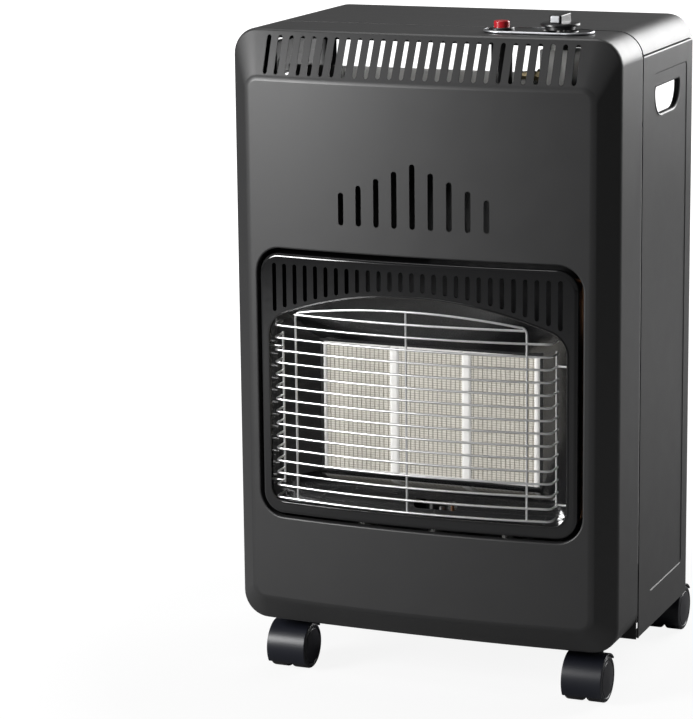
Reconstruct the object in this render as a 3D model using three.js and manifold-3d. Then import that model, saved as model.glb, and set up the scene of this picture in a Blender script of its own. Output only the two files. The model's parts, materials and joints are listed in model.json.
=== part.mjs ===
// Portable gas cabinet heater with a folding cabinet, in millimetres, +Z up.
// X runs to the right and Y runs back from the front edges of the pressed shell. The finished group is
// shifted along Y so that its origin lies on the floor under the middle of the heater.
import * as THREE from 'three';
import { mergeVertices } from 'three/addons/utils/BufferGeometryUtils.js';
import Module from 'manifold-3d';

const wasm = await Module();
wasm.setup();

// ---- Driving dimensions ----------------------------------------------------------------------------

// Cabinet
const CABINET_WIDTH = 420;
const CABINET_DEPTH = 255;
const CABINET_TOP = 698;
const CORNER_RADIUS = 28;
const SHEET = 1.2;
const CLEARANCE = 0.3;
const SEAM_GAP = 3;

// Front shell, deep drawn from one sheet
const SHELL_DEPTH = 70;
const SHELL_BOTTOM = 64;
const SHELL_EDGE_RADIUS = 7;
const SHELL_EDGE_BOW = 8;
const PLATEAU_RISE = 20;
const PLATEAU_BOW = 13;
const PLATEAU_SIDE_MARGIN = 23;
const PLATEAU_TOP_MARGIN = 46.5;
const PLATEAU_BOTTOM_MARGIN = 30;
const PLATEAU_CORNER_RADIUS = 12;
const PLATEAU_CREASE = 2.5;

// Vent slots in the shell
const TOP_VENT_COUNT = 27;
const TOP_VENT_PITCH = 12.8;
const TOP_VENT_WIDTH = 5;
const TOP_VENT_LENGTH = 36;
const TOP_VENT_DROP = 2.5;
const MID_VENT_COUNT = 9;
const MID_VENT_PITCH = 19.75;
const MID_VENT_WIDTH = 6;
const MID_VENT_BOTTOM = CABINET_TOP - 196;
const MID_VENT_SHORTEST = 34;
const MID_VENT_STEP = 8.25;

// Burner window and its enamelled surround
const WINDOW_WIDTH = 356;
const WINDOW_BOTTOM = 185;
const WINDOW_TOP = 473;
const WINDOW_CORNER_RADIUS = 27;
const WINDOW_FLANGE = 8;
const SURROUND_GAP = 4.5;
const SURROUND_PROUD = 3;
const SURROUND_DEPTH = 22;
const SURROUND_EDGE_RADIUS = 4;
const SURROUND_SHEET = 1;
const OPENING_WIDTH = WINDOW_WIDTH - 30;
const OPENING_BOTTOM = 203;
const OPENING_SPRING = 398;
const OPENING_CROWN = 432;
const OPENING_CORNER_RADIUS = 16;
const SURROUND_VENT_COUNT = 27;
const SURROUND_VENT_PITCH = (WINDOW_WIDTH - 32) / SURROUND_VENT_COUNT;
const SURROUND_VENT_WIDTH = 4.6;
const SURROUND_VENT_TOP = 458;
const SURROUND_VENT_BRIDGE = 6;

// Wire guard
const WIRE_DIAMETER = 2.4;
const GUARD_WIRE_COUNT = 15;
const GUARD_BOTTOM = 211.4;
const GUARD_PITCH = 13.13;
const GUARD_HALF_WIDTH = OPENING_WIDTH / 2 - 12;
const GUARD_PROUD = 20;
const GUARD_BOW = 15;
const GUARD_BEND_RADIUS = 7;
const GUARD_UPRIGHT_SPACING = GUARD_HALF_WIDTH - 25;
const GUARD_ARCH_END = 410;
const GUARD_ARCH_CROWN = 421;

// Burner
const PLAQUE_WIDTH = 79.4;
const PLAQUE_PITCH = 80;
const PLAQUE_BOTTOM = 231;
const PLAQUE_HEIGHT = 138;
const PLAQUE_THICKNESS = 13;
const PLAQUE_FACE = 17;
const GASKET_THICKNESS = 1.5;
const GASKET_STRIP = 12;
const GASKET_EDGE = 4;
const HOUSING_DEPTH = 34;
const HOUSING_SHEET = 1;
const LINER_SHEET = 1;
const VENTURI_DIAMETER = 17;
const VENTURI_LENGTH = 62;
const VENTURI_WALL = 1.2;
const INJECTOR_GAP = 5;
const MANIFOLD_DIAMETER = 13;
const INJECTOR_LENGTH = 12;
const RETAINER_LIP = 2;
const LINER_LAP = 2;
const LINER_COLLAR = 6;
const PILOT_X = 16;
const PILOT_PITCH = 12;
const PILOT_SLOT_LENGTH = 48;
const PILOT_SLOT_LOW = 206;
const PILOT_SLOT_HEIGHT = 9;

// Gas valve, its hose tail and the feed pipe
const VALVE_HEIGHT = 52;
const SPINDLE_DEPTH = 26;
const NOZZLE_DIAMETER = 10;
const NOZZLE_LENGTH = 30;
const FEED_PIPE_DIAMETER = 8;
const FEED_PIPE_INSET = 22;

// Chassis behind the shell
const CHASSIS_TOP = CABINET_TOP - 68;
const CHASSIS_POST_WIDTH = 18;
const CHASSIS_FLANGE = 10;
const CHASSIS_RAIL_HEIGHT = 16;
const CHASSIS_FLOOR_DEPTH = 57;

// Side panels, hood and base tray
const SKIRT_HEIGHT = 60.6;
const HOOD_LIP = 23.6;
const PANEL_FLANGE = 11;
const PANEL_EMBOSS_DEPTH = 0.8;
const PANEL_EMBOSS_MARGIN = 22;
const PANEL_EMBOSS_FRONT = 40;
const PANEL_EMBOSS_BOTTOM = 40;
const HAND_HOLE_LENGTH = 88;
const HAND_HOLE_HEIGHT = 29;
const HAND_HOLE_TOP = CABINET_TOP - 62;
const HAND_HOLE_REAR_MARGIN = 49;
const HAND_HOLE_ROLL = 5;
const HINGE_PIN_DIAMETER = 4;
const HINGE_EYE_DIAMETER = 8;
const HINGE_EAR = 2;
const HOOD_PIN_DIAMETER = 3;
const PIN_RUNNING_GAP = 0.08;
const SIDE_HINGE_INSET = 10;
const SIDE_HINGE_SETBACK = 8;
const SIDE_HINGE_LOW = 130;
const SIDE_HINGE_HIGH = CABINET_TOP - 98;
const HOOD_HINGE_DROP = 4.5;
const HOOD_HINGE_SETBACK = 5;
const HOOD_SWING_ROOM = 10;
const HOOD_HINGE_SPACING = CABINET_WIDTH - 120;
const TRAY_TOP = 59.7;
const TRAY_WIDTH = CABINET_WIDTH - 44;
const TRAY_REAR = 343;
const TRAY_CORNER_RADIUS = 22;
const TRAY_RIB = 4;
const TRAY_HINGE_SPACING = CABINET_WIDTH - 120;
const TRAY_HINGE_SETBACK = 14;
const TRAY_HINGE_DROP = 3.7;
const TRAY_HINGE_LAP = 3;
const TRAY_EYE = 3.5;

// Controls on the top
const CONTROL_Y = 36;
const BEZEL_LEFT = CABINET_WIDTH / 2 - 156;
const BEZEL_LENGTH = 115;
const BEZEL_DEPTH = 44;
const BEZEL_HEIGHT = 3;
const KNOB_X = BEZEL_LEFT + 80;
const KNOB_SKIRT_DIAMETER = 40;
const KNOB_GRIP_WIDTH = 13;
const KNOB_HEIGHT = 12;
const KNOB_TRAVEL = 4;
const SPINDLE_DIAMETER = 8;
const BUTTON_X = BEZEL_LEFT + 18;
const BUTTON_DIAMETER = 16;
const BUTTON_HEIGHT = 8;
const BUTTON_TRAVEL = 5;
const BUTTON_RING_DIAMETER = 26;
const BUTTON_RING_PROUD = 1.5;
const BUTTON_ENGAGE = 12;
const IGNITER_HEIGHT = 56;
const IGNITER_WALL = 2.5;

// Castors, twin wheel
const WHEEL_DIAMETER = 49.4;
const WHEEL_WIDTH = 19.5;
const CASTOR_WEB = 5;
const CASTOR_HOOD = 2.2;
const CASTOR_HOOD_GAP = 0.6;
const CASTOR_OFFSET = 19;
const CASTOR_HEIGHT = 57.2;
const CASTOR_AXLE_DIAMETER = 6;
const CASTOR_STEM_DIAMETER = 10;
const STEM_LOW = 43;
const CASTOR_BOSS_DIAMETER = 20;
const CASTOR_COLLAR_DIAMETER = 18;
const CASTOR_FRONT_X = CABINET_WIDTH / 2 - 43;
const CASTOR_FRONT_Y = 57;
const CASTOR_REAR_X = TRAY_WIDTH / 2 - 16;
const CASTOR_REAR_Y = 329;

// ---- Sizes worked out from them --------------------------------------------------------------------

const HALF_WIDTH = CABINET_WIDTH / 2;
const BEHIND_SEAM = SHELL_DEPTH + SEAM_GAP;
const CHASSIS_BACK = SHELL_DEPTH - CLEARANCE;
const CHASSIS_HALF = HALF_WIDTH - SHEET - CLEARANCE;
const CHASSIS_FLOOR = SHELL_BOTTOM + SHEET + CLEARANCE;
const LID_BOTTOM = CABINET_TOP - HOOD_LIP;
const SIDE_HINGE_X = HALF_WIDTH - SIDE_HINGE_INSET;
const SIDE_HINGE_Y = SHELL_DEPTH + SIDE_HINGE_SETBACK;
const HOOD_HINGE_Y = SHELL_DEPTH + HOOD_HINGE_SETBACK;
const HOOD_HINGE_Z = CABINET_TOP - HOOD_HINGE_DROP;
const FOLDED_PANEL_BACK = SIDE_HINGE_Y + SIDE_HINGE_INSET;
const TRAY_HINGE_Y = FOLDED_PANEL_BACK + TRAY_HINGE_SETBACK;
const TRAY_HINGE_Z = TRAY_TOP - TRAY_HINGE_DROP;
const TRAY_FRONT = TRAY_HINGE_Y - TRAY_HINGE_LAP;
const PLAQUE_ROW = 3 * PLAQUE_PITCH;
const HOUSING_HALF = PLAQUE_ROW / 2 + CLEARANCE + HOUSING_SHEET;
const HOUSING_FRONT = PLAQUE_FACE + 0.5;
const HOUSING_BACK = HOUSING_FRONT + HOUSING_DEPTH;
const HOUSING_LOW = PLAQUE_BOTTOM - CLEARANCE - HOUSING_SHEET;
const HOUSING_HIGH = PLAQUE_BOTTOM + PLAQUE_HEIGHT + CLEARANCE + HOUSING_SHEET;
const BURNER_LINE_Y = (HOUSING_FRONT + HOUSING_BACK) / 2;
const WIRE_RADIUS = WIRE_DIAMETER / 2;
const AXLE_HEIGHT = WHEEL_DIAMETER / 2;
const UNDER_SHELL = CABINET_TOP - SHEET - CLEARANCE;

// ---- Solid helpers ---------------------------------------------------------------------------------

function signedVolume(position, index) {
  const a = new THREE.Vector3();
  const b = new THREE.Vector3();
  const c = new THREE.Vector3();
  let volume = 0;
  for (let i = 0; i < index.length; i += 3) {
    a.fromBufferAttribute(position, index[i]);
    b.fromBufferAttribute(position, index[i + 1]);
    c.fromBufferAttribute(position, index[i + 2]);
    volume += a.dot(b.cross(c)) / 6;
  }
  return volume;
}

// Turns a closed three.js geometry into a manifold solid whose faces point outwards.
function solid(geometry) {
  const bare = geometry.clone();
  bare.deleteAttribute('normal');
  bare.deleteAttribute('uv');
  const merged = mergeVertices(bare, 1e-4);
  const index = Array.from(merged.index.array);
  if (signedVolume(merged.attributes.position, index) < 0) index.reverse();
  const mesh = { numProp: 3, vertProperties: new Float32Array(merged.attributes.position.array) };
  return new wasm.Manifold(new wasm.Mesh({ ...mesh, triVerts: new Uint32Array(index) }));
}

const joined = (solids) => solids.reduce((whole, piece) => whole.add(piece));
const cutBy = (whole, tools) => tools.reduce((rest, tool) => rest.subtract(tool), whole);

function geometryOf(body) {
  const mesh = body.getMesh();
  const geometry = new THREE.BufferGeometry();
  geometry.setAttribute('position', new THREE.BufferAttribute(Float32Array.from(mesh.vertProperties), 3));
  geometry.setIndex(Array.from(mesh.triVerts));
  geometry.computeVertexNormals();
  return geometry;
}

// A box between two corners.
function block([x0, y0, z0], [x1, y1, z1]) {
  const box = new THREE.BoxGeometry(x1 - x0, y1 - y0, z1 - z0);
  box.translate((x0 + x1) / 2, (y0 + y1) / 2, (z0 + z1) / 2);
  return solid(box);
}

// A round bar from one point to another along X, Y or Z.
function bar(from, to, radius, sides = 10) {
  const start = new THREE.Vector3(...from);
  const along = new THREE.Vector3(...to).sub(start);
  const cylinder = new THREE.CylinderGeometry(radius, radius, along.length(), sides);
  const turn = new THREE.Quaternion().setFromUnitVectors(
    new THREE.Vector3(0, 1, 0),
    along.clone().normalize(),
  );
  cylinder.applyQuaternion(turn);
  cylinder.translate(...start.addScaledVector(along, 0.5).toArray());
  return solid(cylinder);
}

// A hole whose flats stand clear of the pin that turns in it.
function runningHole(from, to, pinDiameter, sides = 8) {
  return bar(from, to, (pinDiameter / 2 + PIN_RUNNING_GAP) / Math.cos(Math.PI / sides), sides);
}

// A flat outline in X and Z, carried along Y from front to back.
function alongY(shape, front, back, curveSegments = 2) {
  const body = new THREE.ExtrudeGeometry(shape, { depth: back - front, bevelEnabled: false, curveSegments });
  body.rotateX(Math.PI / 2);
  body.translate(0, back, 0);
  return solid(body);
}

// A flat outline in X and Y, carried up from one height to another.
function alongZ(shape, low, high, curveSegments = 2) {
  const body = new THREE.ExtrudeGeometry(shape, { depth: high - low, bevelEnabled: false, curveSegments });
  body.translate(0, 0, low);
  return solid(body);
}

// A flat outline in Y and Z, carried along X from left to right.
function alongX(shape, left, right, curveSegments = 2) {
  const body = new THREE.ExtrudeGeometry(shape, { depth: right - left, bevelEnabled: false, curveSegments });
  body.rotateX(Math.PI / 2);
  body.rotateZ(Math.PI / 2);
  body.translate(left, 0, 0);
  return solid(body);
}

// A rectangle between two corners with rounded corners.
function roundedRectangle(u0, v0, u1, v1, radius) {
  const shape = new THREE.Shape();
  const quarter = Math.PI / 2;
  shape.absarc(u1 - radius, v0 + radius, radius, -quarter, 0);
  shape.absarc(u1 - radius, v1 - radius, radius, 0, quarter);
  shape.absarc(u0 + radius, v1 - radius, radius, quarter, 2 * quarter);
  shape.absarc(u0 + radius, v0 + radius, radius, 2 * quarter, 3 * quarter);
  return shape;
}

function slotShape(x, width, low, high) {
  return roundedRectangle(x - width / 2, low, x + width / 2, high, width / 2 - 0.01);
}

// A path through chosen points, sampled at the points themselves.
class BentPath extends THREE.Curve {
  constructor(points) {
    super();
    this.points = points.map((point) => new THREE.Vector3(...point));
  }

  getPoint(t, target = new THREE.Vector3()) {
    const place = t * (this.points.length - 1);
    const start = Math.min(Math.floor(place + 1e-6), this.points.length - 2);
    return target.lerpVectors(this.points[start], this.points[start + 1], place - start);
  }

  getPointAt(u, target) {
    return this.getPoint(u, target);
  }

  getTangentAt(u, target = new THREE.Vector3()) {
    const last = this.points.length - 1;
    const near = Math.round(u * last);
    const before = this.points[Math.max(near - 1, 0)];
    const here = this.points[near];
    const after = this.points[Math.min(near + 1, last)];
    const arriving = here.clone().sub(before).normalize();
    const leaving = after.clone().sub(here).normalize();
    return target.addVectors(arriving, leaving).normalize();
  }
}

// A wire or pipe of regular section swept through points.
function sweep(points, radius, sides = 5) {
  const path = new BentPath(points);
  const steps = points.length - 1;
  const section = new THREE.Shape();
  for (let i = 0; i < sides; i += 1) {
    const angle = (2 * Math.PI * i) / sides;
    const move = i === 0 ? 'moveTo' : 'lineTo';
    section[move](radius * Math.cos(angle), radius * Math.sin(angle));
  }
  return solid(new THREE.ExtrudeGeometry(section, { steps, extrudePath: path, bevelEnabled: false }));
}

// Joins rings of equal length, each closed by its own two ends, and caps both ends with strips.
function loft(rings) {
  const count = rings[0].length;
  const positions = rings.flat(2);
  const index = [];
  for (let r = 0; r + 1 < rings.length; r += 1) {
    for (let i = 0; i < count; i += 1) {
      const a = r * count + i;
      const b = r * count + ((i + 1) % count);
      index.push(a, b, b + count, a, b + count, a + count);
    }
  }
  const cap = (ring, flip) => {
    for (let i = 0; i + 1 < count / 2; i += 1) {
      const [a, b, c, d] = [i, i + 1, count - 2 - i, count - 1 - i].map((k) => ring * count + k);
      index.push(...(flip ? [a, b, c, a, c, d] : [a, c, b, a, d, c]));
    }
  };
  cap(0, false);
  cap(rings.length - 1, true);
  const geometry = new THREE.BufferGeometry();
  geometry.setAttribute('position', new THREE.BufferAttribute(new Float32Array(positions), 3));
  geometry.setIndex(index);
  return solid(geometry);
}

// A rounded rectangle in X and Z as one ring of points: the upper half from left to right, then the
// lower half back at the same stations. depthAt gives each point's Y.
function panRing(halfWidth, low, high, radius, depthAt, cornerSteps = 4, chainSteps = 8) {
  const highAt = typeof high === 'function' ? high : () => high;
  const stations = [];
  for (let i = 0; i <= cornerSteps; i += 1) {
    const angle = (Math.PI / 2) * (i / cornerSteps);
    stations.push([-halfWidth + radius * (1 - Math.cos(angle)), radius * (1 - Math.sin(angle))]);
  }
  const chainHalf = halfWidth - radius;
  for (let i = 1; i < chainSteps; i += 1) stations.push([-chainHalf + (2 * chainHalf * i) / chainSteps, 0]);
  for (let i = cornerSteps; i >= 0; i -= 1) stations.push([-stations[i][0], stations[i][1]]);
  const upper = stations.map(([x, drop]) => [x, depthAt(x), highAt(x) - drop]);
  const lower = stations.map(([x, drop]) => [x, depthAt(x), low + drop]).reverse();
  return [...upper, ...lower];
}

// ---- Pressed shell ---------------------------------------------------------------------------------

const PLATEAU_HALF = HALF_WIDTH - PLATEAU_SIDE_MARGIN;
const plateauAt = (x) => -PLATEAU_RISE - PLATEAU_BOW * (1 - (x / PLATEAU_HALF) ** 2);
const shellEdgeAt = (x) => -SHELL_EDGE_BOW * (1 - (x / HALF_WIDTH) ** 2);

// The outer surface of the shell, or the same surface moved in by a wall.
function shellVolume(wall) {
  const rim = (inset, shift, lean) => {
    const side = inset + wall * Math.cos(lean);
    const depthAt = (x) => shellEdgeAt(x) + shift + wall * Math.sin(lean);
    return panRing(
      HALF_WIDTH - side,
      SHELL_BOTTOM + side,
      CABINET_TOP - side,
      CORNER_RADIUS - side,
      depthAt,
    );
  };
  const crease = (out, lean) => {
    const side = wall * Math.cos(lean) - out;
    const depthAt = (x) => {
      const level = plateauAt(Math.min(Math.abs(x), PLATEAU_HALF));
      return level + Math.max(out, 0) * 0.7 + wall * Math.sin(lean);
    };
    return panRing(
      PLATEAU_HALF - side,
      SHELL_BOTTOM + PLATEAU_BOTTOM_MARGIN + side,
      CABINET_TOP - PLATEAU_TOP_MARGIN - side,
      PLATEAU_CORNER_RADIUS - Math.min(side, PLATEAU_CORNER_RADIUS / 2),
      depthAt,
    );
  };
  const flat = (y) => panRing(
    HALF_WIDTH - wall,
    SHELL_BOTTOM + wall,
    CABINET_TOP - wall,
    CORNER_RADIUS - wall,
    () => y,
  );
  const rings = [flat(SHELL_DEPTH + 2 * wall)];
  const edgeSweep = THREE.MathUtils.degToRad(50);
  const rise = SHELL_EDGE_RADIUS * Math.sin(edgeSweep);
  for (let i = 0; i <= 3; i += 1) {
    const angle = (edgeSweep * i) / 3;
    const inset = SHELL_EDGE_RADIUS * (1 - Math.cos(angle));
    rings.push(rim(inset, rise - SHELL_EDGE_RADIUS * Math.sin(angle), angle));
  }
  rings.push(crease(PLATEAU_CREASE, edgeSweep));
  rings.push(crease(-PLATEAU_CREASE, Math.PI / 2));
  return loft(rings);
}

function ventRow(count, pitch, width, lowAt, highAt, front, back) {
  return Array.from({ length: count }, (_, i) => {
    const x = (i - (count - 1) / 2) * pitch;
    return alongY(slotShape(x, width, lowAt(x, i), highAt(x, i)), front, back, 1);
  });
}

const windowShape = () => roundedRectangle(
  -WINDOW_WIDTH / 2,
  WINDOW_BOTTOM,
  WINDOW_WIDTH / 2,
  WINDOW_TOP,
  WINDOW_CORNER_RADIUS,
);

function frontShell() {
  const outer = shellVolume(0);
  const front = plateauAt(0) - 5;
  const flangeBand = alongY(windowShape(), front, 0).subtract(
    alongY(
      roundedRectangle(
        -WINDOW_WIDTH / 2 + SHEET,
        WINDOW_BOTTOM + SHEET,
        WINDOW_WIDTH / 2 - SHEET,
        WINDOW_TOP - SHEET,
        WINDOW_CORNER_RADIUS - SHEET,
      ),
      front - 1,
      1,
    ),
  );
  const flange = flangeBand.intersect(outer).subtract(outer.translate([0, WINDOW_FLANGE, 0]));
  const windowCut = alongY(
    roundedRectangle(
      -WINDOW_WIDTH / 2 + SHEET / 2,
      WINDOW_BOTTOM + SHEET / 2,
      WINDOW_WIDTH / 2 - SHEET / 2,
      WINDOW_TOP - SHEET / 2,
      WINDOW_CORNER_RADIUS - SHEET / 2,
    ),
    front,
    0,
  );
  const ventTop = CABINET_TOP - TOP_VENT_DROP - SHELL_EDGE_RADIUS / 2;
  const topVents = ventRow(
    TOP_VENT_COUNT,
    TOP_VENT_PITCH,
    TOP_VENT_WIDTH,
    () => ventTop - TOP_VENT_LENGTH,
    () => ventTop,
    front,
    SHELL_EDGE_RADIUS,
  );
  const middle = (MID_VENT_COUNT - 1) / 2;
  const midVents = ventRow(
    MID_VENT_COUNT,
    MID_VENT_PITCH,
    MID_VENT_WIDTH,
    () => MID_VENT_BOTTOM,
    (x, i) => MID_VENT_BOTTOM + MID_VENT_SHORTEST + MID_VENT_STEP * (middle - Math.abs(i - middle)),
    front,
    0,
  );
  const stemHoles = [-1, 1].map((side) => bar(
    [side * CASTOR_FRONT_X, CASTOR_FRONT_Y, SHELL_BOTTOM - 1],
    [side * CASTOR_FRONT_X, CASTOR_FRONT_Y, SHELL_BOTTOM + SHEET + 1],
    CASTOR_STEM_DIAMETER / 2 + CLEARANCE,
  ));
  const spindleHole = bar(
    [KNOB_X, CONTROL_Y, UNDER_SHELL - 1],
    [KNOB_X, CONTROL_Y, CABINET_TOP + 1],
    SPINDLE_DIAMETER / 2 + 2,
  );
  const buttonHole = bar(
    [BUTTON_X, CONTROL_Y, UNDER_SHELL - 1],
    [BUTTON_X, CONTROL_Y, CABINET_TOP + 1],
    BUTTON_DIAMETER / 2 + CLEARANCE,
    20,
  );
  const skin = outer.subtract(shellVolume(SHEET));
  const pressed = skin.add(flange);
  const inside = windowCut.subtract(flangeBand);
  return cutBy(pressed, [inside, ...topVents, ...midVents, ...stemHoles, spindleHole, buttonHole]);
}

// ---- Burner surround, liner and guard --------------------------------------------------------------

const SURROUND_HALF = WINDOW_WIDTH / 2 - SURROUND_GAP;
const surroundAt = (x) => plateauAt(x) - SURROUND_PROUD;
const OPENING_RISE = OPENING_CROWN - OPENING_SPRING;
const archAt = (x) => OPENING_CROWN - OPENING_RISE * ((2 * x) / OPENING_WIDTH) ** 2;

function surroundVolume(wall) {
  const low = WINDOW_BOTTOM + SURROUND_GAP;
  const high = WINDOW_TOP - SURROUND_GAP;
  const radius = WINDOW_CORNER_RADIUS - SURROUND_GAP;
  const ring = (inset, depthAt) => panRing(
    SURROUND_HALF - inset,
    low + inset,
    high - inset,
    radius - inset,
    depthAt,
  );
  const back = plateauAt(SURROUND_HALF) + SURROUND_DEPTH;
  const rings = [ring(wall, () => back + 2 * wall)];
  for (let i = 0; i <= 3; i += 1) {
    const angle = (Math.PI / 2) * (i / 3);
    const inset = SURROUND_EDGE_RADIUS * (1 - Math.cos(angle)) + wall * Math.cos(angle);
    const shift = SURROUND_EDGE_RADIUS * (1 - Math.sin(angle)) + wall * Math.sin(angle);
    rings.push(ring(inset, (x) => surroundAt(x) + shift));
  }
  return loft(rings);
}

// The fire opening: rounded foot under a shallow arch.
const openingRing = (y, grow) => panRing(
  OPENING_WIDTH / 2 + grow,
  OPENING_BOTTOM - grow,
  (x) => archAt(x) + grow,
  OPENING_CORNER_RADIUS + grow,
  () => y,
);

function burnerSurround() {
  const front = surroundAt(0) - 2;
  const slots = ventRow(
    SURROUND_VENT_COUNT,
    SURROUND_VENT_PITCH,
    SURROUND_VENT_WIDTH,
    (x) => archAt(x) + SURROUND_VENT_BRIDGE,
    () => SURROUND_VENT_TOP,
    front,
    plateauAt(SURROUND_HALF) + SURROUND_EDGE_RADIUS,
  );
  const skin = surroundVolume(0).subtract(surroundVolume(SURROUND_SHEET));
  return cutBy(skin, [loft([openingRing(0, 0), openingRing(front, 0)]), ...slots]);
}

// A pan that leads back from the opening to the plaques, flared so that it throws the heat forward.
const LINER_REAR_HALF = HOUSING_HALF + RETAINER_LIP + CLEARANCE;
const LINER_REAR = PLAQUE_FACE - GASKET_THICKNESS;
const LINER_STRAIGHT = plateauAt(OPENING_WIDTH / 2) + LINER_COLLAR;

function firebox(wall, reach) {
  const rear = (y) => panRing(
    LINER_REAR_HALF + wall,
    HOUSING_LOW - RETAINER_LIP - CLEARANCE - wall,
    HOUSING_HIGH + RETAINER_LIP + CLEARANCE + wall,
    CLEARANCE + wall,
    () => y,
  );
  const front = surroundAt(0) - 2 - reach;
  const edge = LINER_LAP + wall;
  return loft([
    openingRing(front, edge),
    openingRing(LINER_STRAIGHT, edge),
    rear(LINER_REAR),
    rear(LINER_REAR + GASKET_THICKNESS + reach),
  ]);
}

function fireboxLiner() {
  const shell = firebox(LINER_SHEET, 0).subtract(firebox(0, 1));
  const half = SURROUND_HALF - SURROUND_SHEET - 1;
  const ahead = block(
    [-half, surroundAt(0) - 5, OPENING_BOTTOM - 10],
    [half, plateauAt(SURROUND_HALF) + SURROUND_EDGE_RADIUS, OPENING_CROWN + 10],
  ).subtract(surroundVolume(SURROUND_SHEET + CLEARANCE));
  const pilotSlot = alongY(
    roundedRectangle(
      PILOT_X - PILOT_SLOT_LENGTH / 2,
      PILOT_SLOT_LOW,
      PILOT_X + PILOT_SLOT_LENGTH / 2,
      PILOT_SLOT_LOW + PILOT_SLOT_HEIGHT,
      PILOT_SLOT_HEIGHT / 2 - 0.01,
    ),
    LINER_STRAIGHT,
    LINER_REAR - 3,
  );
  return cutBy(shell, [ahead, pilotSlot]);
}

const GUARD_SIDE_Y = LINER_STRAIGHT - 3;
const guardAt = (x) => (
  -PLATEAU_RISE - GUARD_PROUD - GUARD_BOW * (1 - (x / GUARD_HALF_WIDTH) ** 2)
);

// Evenly spaced numbers from one end to the other.
const spaced = (from, to, parts) => (
  Array.from({ length: parts + 1 }, (_, i) => from + ((to - from) * i) / parts)
);

// One long wire: straight back at both sides, bent round and bowed forward between.
function guardWire(z) {
  const bend = GUARD_BEND_RADIUS;
  const side = (sign) => {
    const x = sign * GUARD_HALF_WIDTH;
    const face = guardAt(GUARD_HALF_WIDTH - bend);
    return [
      [x, GUARD_SIDE_Y + WIRE_RADIUS, z],
      [x, face + bend, z],
      [x - sign * bend * 0.3, face + bend * 0.3, z],
    ];
  };
  const run = GUARD_HALF_WIDTH - bend;
  const front = spaced(-run, run, 4).map((x) => [x, guardAt(x), z]);
  return sweep([...side(-1), ...front, ...side(1).reverse()], WIRE_RADIUS);
}

function wireGuard() {
  const top = GUARD_BOTTOM + GUARD_PITCH * (GUARD_WIRE_COUNT - 1);
  const wires = spaced(GUARD_BOTTOM, top, GUARD_WIRE_COUNT - 1).map(guardWire);
  const weld = WIRE_DIAMETER * 0.8;
  const outer = GUARD_UPRIGHT_SPACING;
  const bend = GUARD_BEND_RADIUS;
  const leg = (sign) => {
    const x = sign * outer;
    const y = guardAt(outer) + weld;
    return [
      [x, y, GUARD_BOTTOM - WIRE_RADIUS],
      [x, y, GUARD_ARCH_END - bend],
      [x - sign * bend * 0.3, y, GUARD_ARCH_END - bend * 0.3],
    ];
  };
  const arch = spaced(-outer + bend, outer - bend, 4).map((x) => [
    x,
    guardAt(x) + weld,
    GUARD_ARCH_CROWN - (GUARD_ARCH_CROWN - GUARD_ARCH_END) * (x / outer) ** 2,
  ]);
  const hoop = sweep([...leg(-1), ...arch, ...leg(1).reverse()], WIRE_RADIUS);
  const middle = sweep(
    [[0, guardAt(0) + weld, GUARD_BOTTOM - WIRE_RADIUS], [0, guardAt(0) + weld, GUARD_ARCH_CROWN]],
    WIRE_RADIUS,
  );
  const shortZ = top + GUARD_PITCH;
  const short = sweep(spaced(-outer, outer, 4).map((x) => [x, guardAt(x), shortZ]), WIRE_RADIUS);
  const sides = [-1, 1].flatMap((sign) => {
    const x = sign * (GUARD_HALF_WIDTH - WIRE_RADIUS * 0.8);
    const low = GUARD_BOTTOM + GUARD_PITCH;
    const high = top - GUARD_PITCH;
    const wall = sign * (OPENING_WIDTH / 2 + LINER_LAP - CLEARANCE);
    const at = (z, reach = x) => [reach, GUARD_SIDE_Y, z];
    const upright = sweep([at(low - WIRE_DIAMETER), at(high + WIRE_DIAMETER)], WIRE_RADIUS);
    const feet = [low, high - GUARD_PITCH].map((z) => sweep([at(z), at(z, wall)], WIRE_RADIUS));
    return [upright, ...feet];
  });
  return joined([...wires, hoop, middle, short, ...sides]);
}

// ---- Burner and gas train --------------------------------------------------------------------------

function plaque() {
  const inside = PLAQUE_WIDTH / 2;
  return block(
    [-inside, PLAQUE_FACE, PLAQUE_BOTTOM],
    [inside, PLAQUE_FACE + PLAQUE_THICKNESS, PLAQUE_BOTTOM + PLAQUE_HEIGHT],
  );
}

// White fibre strips over the joints and round the edges of the three plaques.
function plaqueGasket() {
  const back = PLAQUE_FACE - CLEARANCE;
  const front = back - GASKET_THICKNESS;
  const half = PLAQUE_ROW / 2;
  const sheet = block([-half, front, PLAQUE_BOTTOM], [half, back, PLAQUE_BOTTOM + PLAQUE_HEIGHT]);
  const windows = [-1, 0, 1].map((place) => block(
    [
      place * PLAQUE_PITCH - PLAQUE_PITCH / 2 + (place < 0 ? GASKET_STRIP : GASKET_STRIP / 2),
      front - 1,
      PLAQUE_BOTTOM + GASKET_EDGE,
    ],
    [
      place * PLAQUE_PITCH + PLAQUE_PITCH / 2 - (place > 0 ? GASKET_STRIP : GASKET_STRIP / 2),
      back + 1,
      PLAQUE_BOTTOM + PLAQUE_HEIGHT - GASKET_EDGE,
    ],
  ));
  return cutBy(sheet, windows);
}

// The bright frame that clamps the gasket to the housing.
function plaqueRetainer() {
  const back = HOUSING_FRONT - CLEARANCE;
  const front = back - GASKET_THICKNESS;
  const half = HOUSING_HALF + RETAINER_LIP;
  const gap = PLAQUE_ROW / 2 + CLEARANCE;
  const frame = block([-half, front, HOUSING_LOW - RETAINER_LIP], [half, back, HOUSING_HIGH + RETAINER_LIP]);
  const hole = block(
    [-gap, front - 1, PLAQUE_BOTTOM - CLEARANCE],
    [gap, back + 1, PLAQUE_BOTTOM + PLAQUE_HEIGHT + CLEARANCE],
  );
  return frame.subtract(hole);
}

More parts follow.
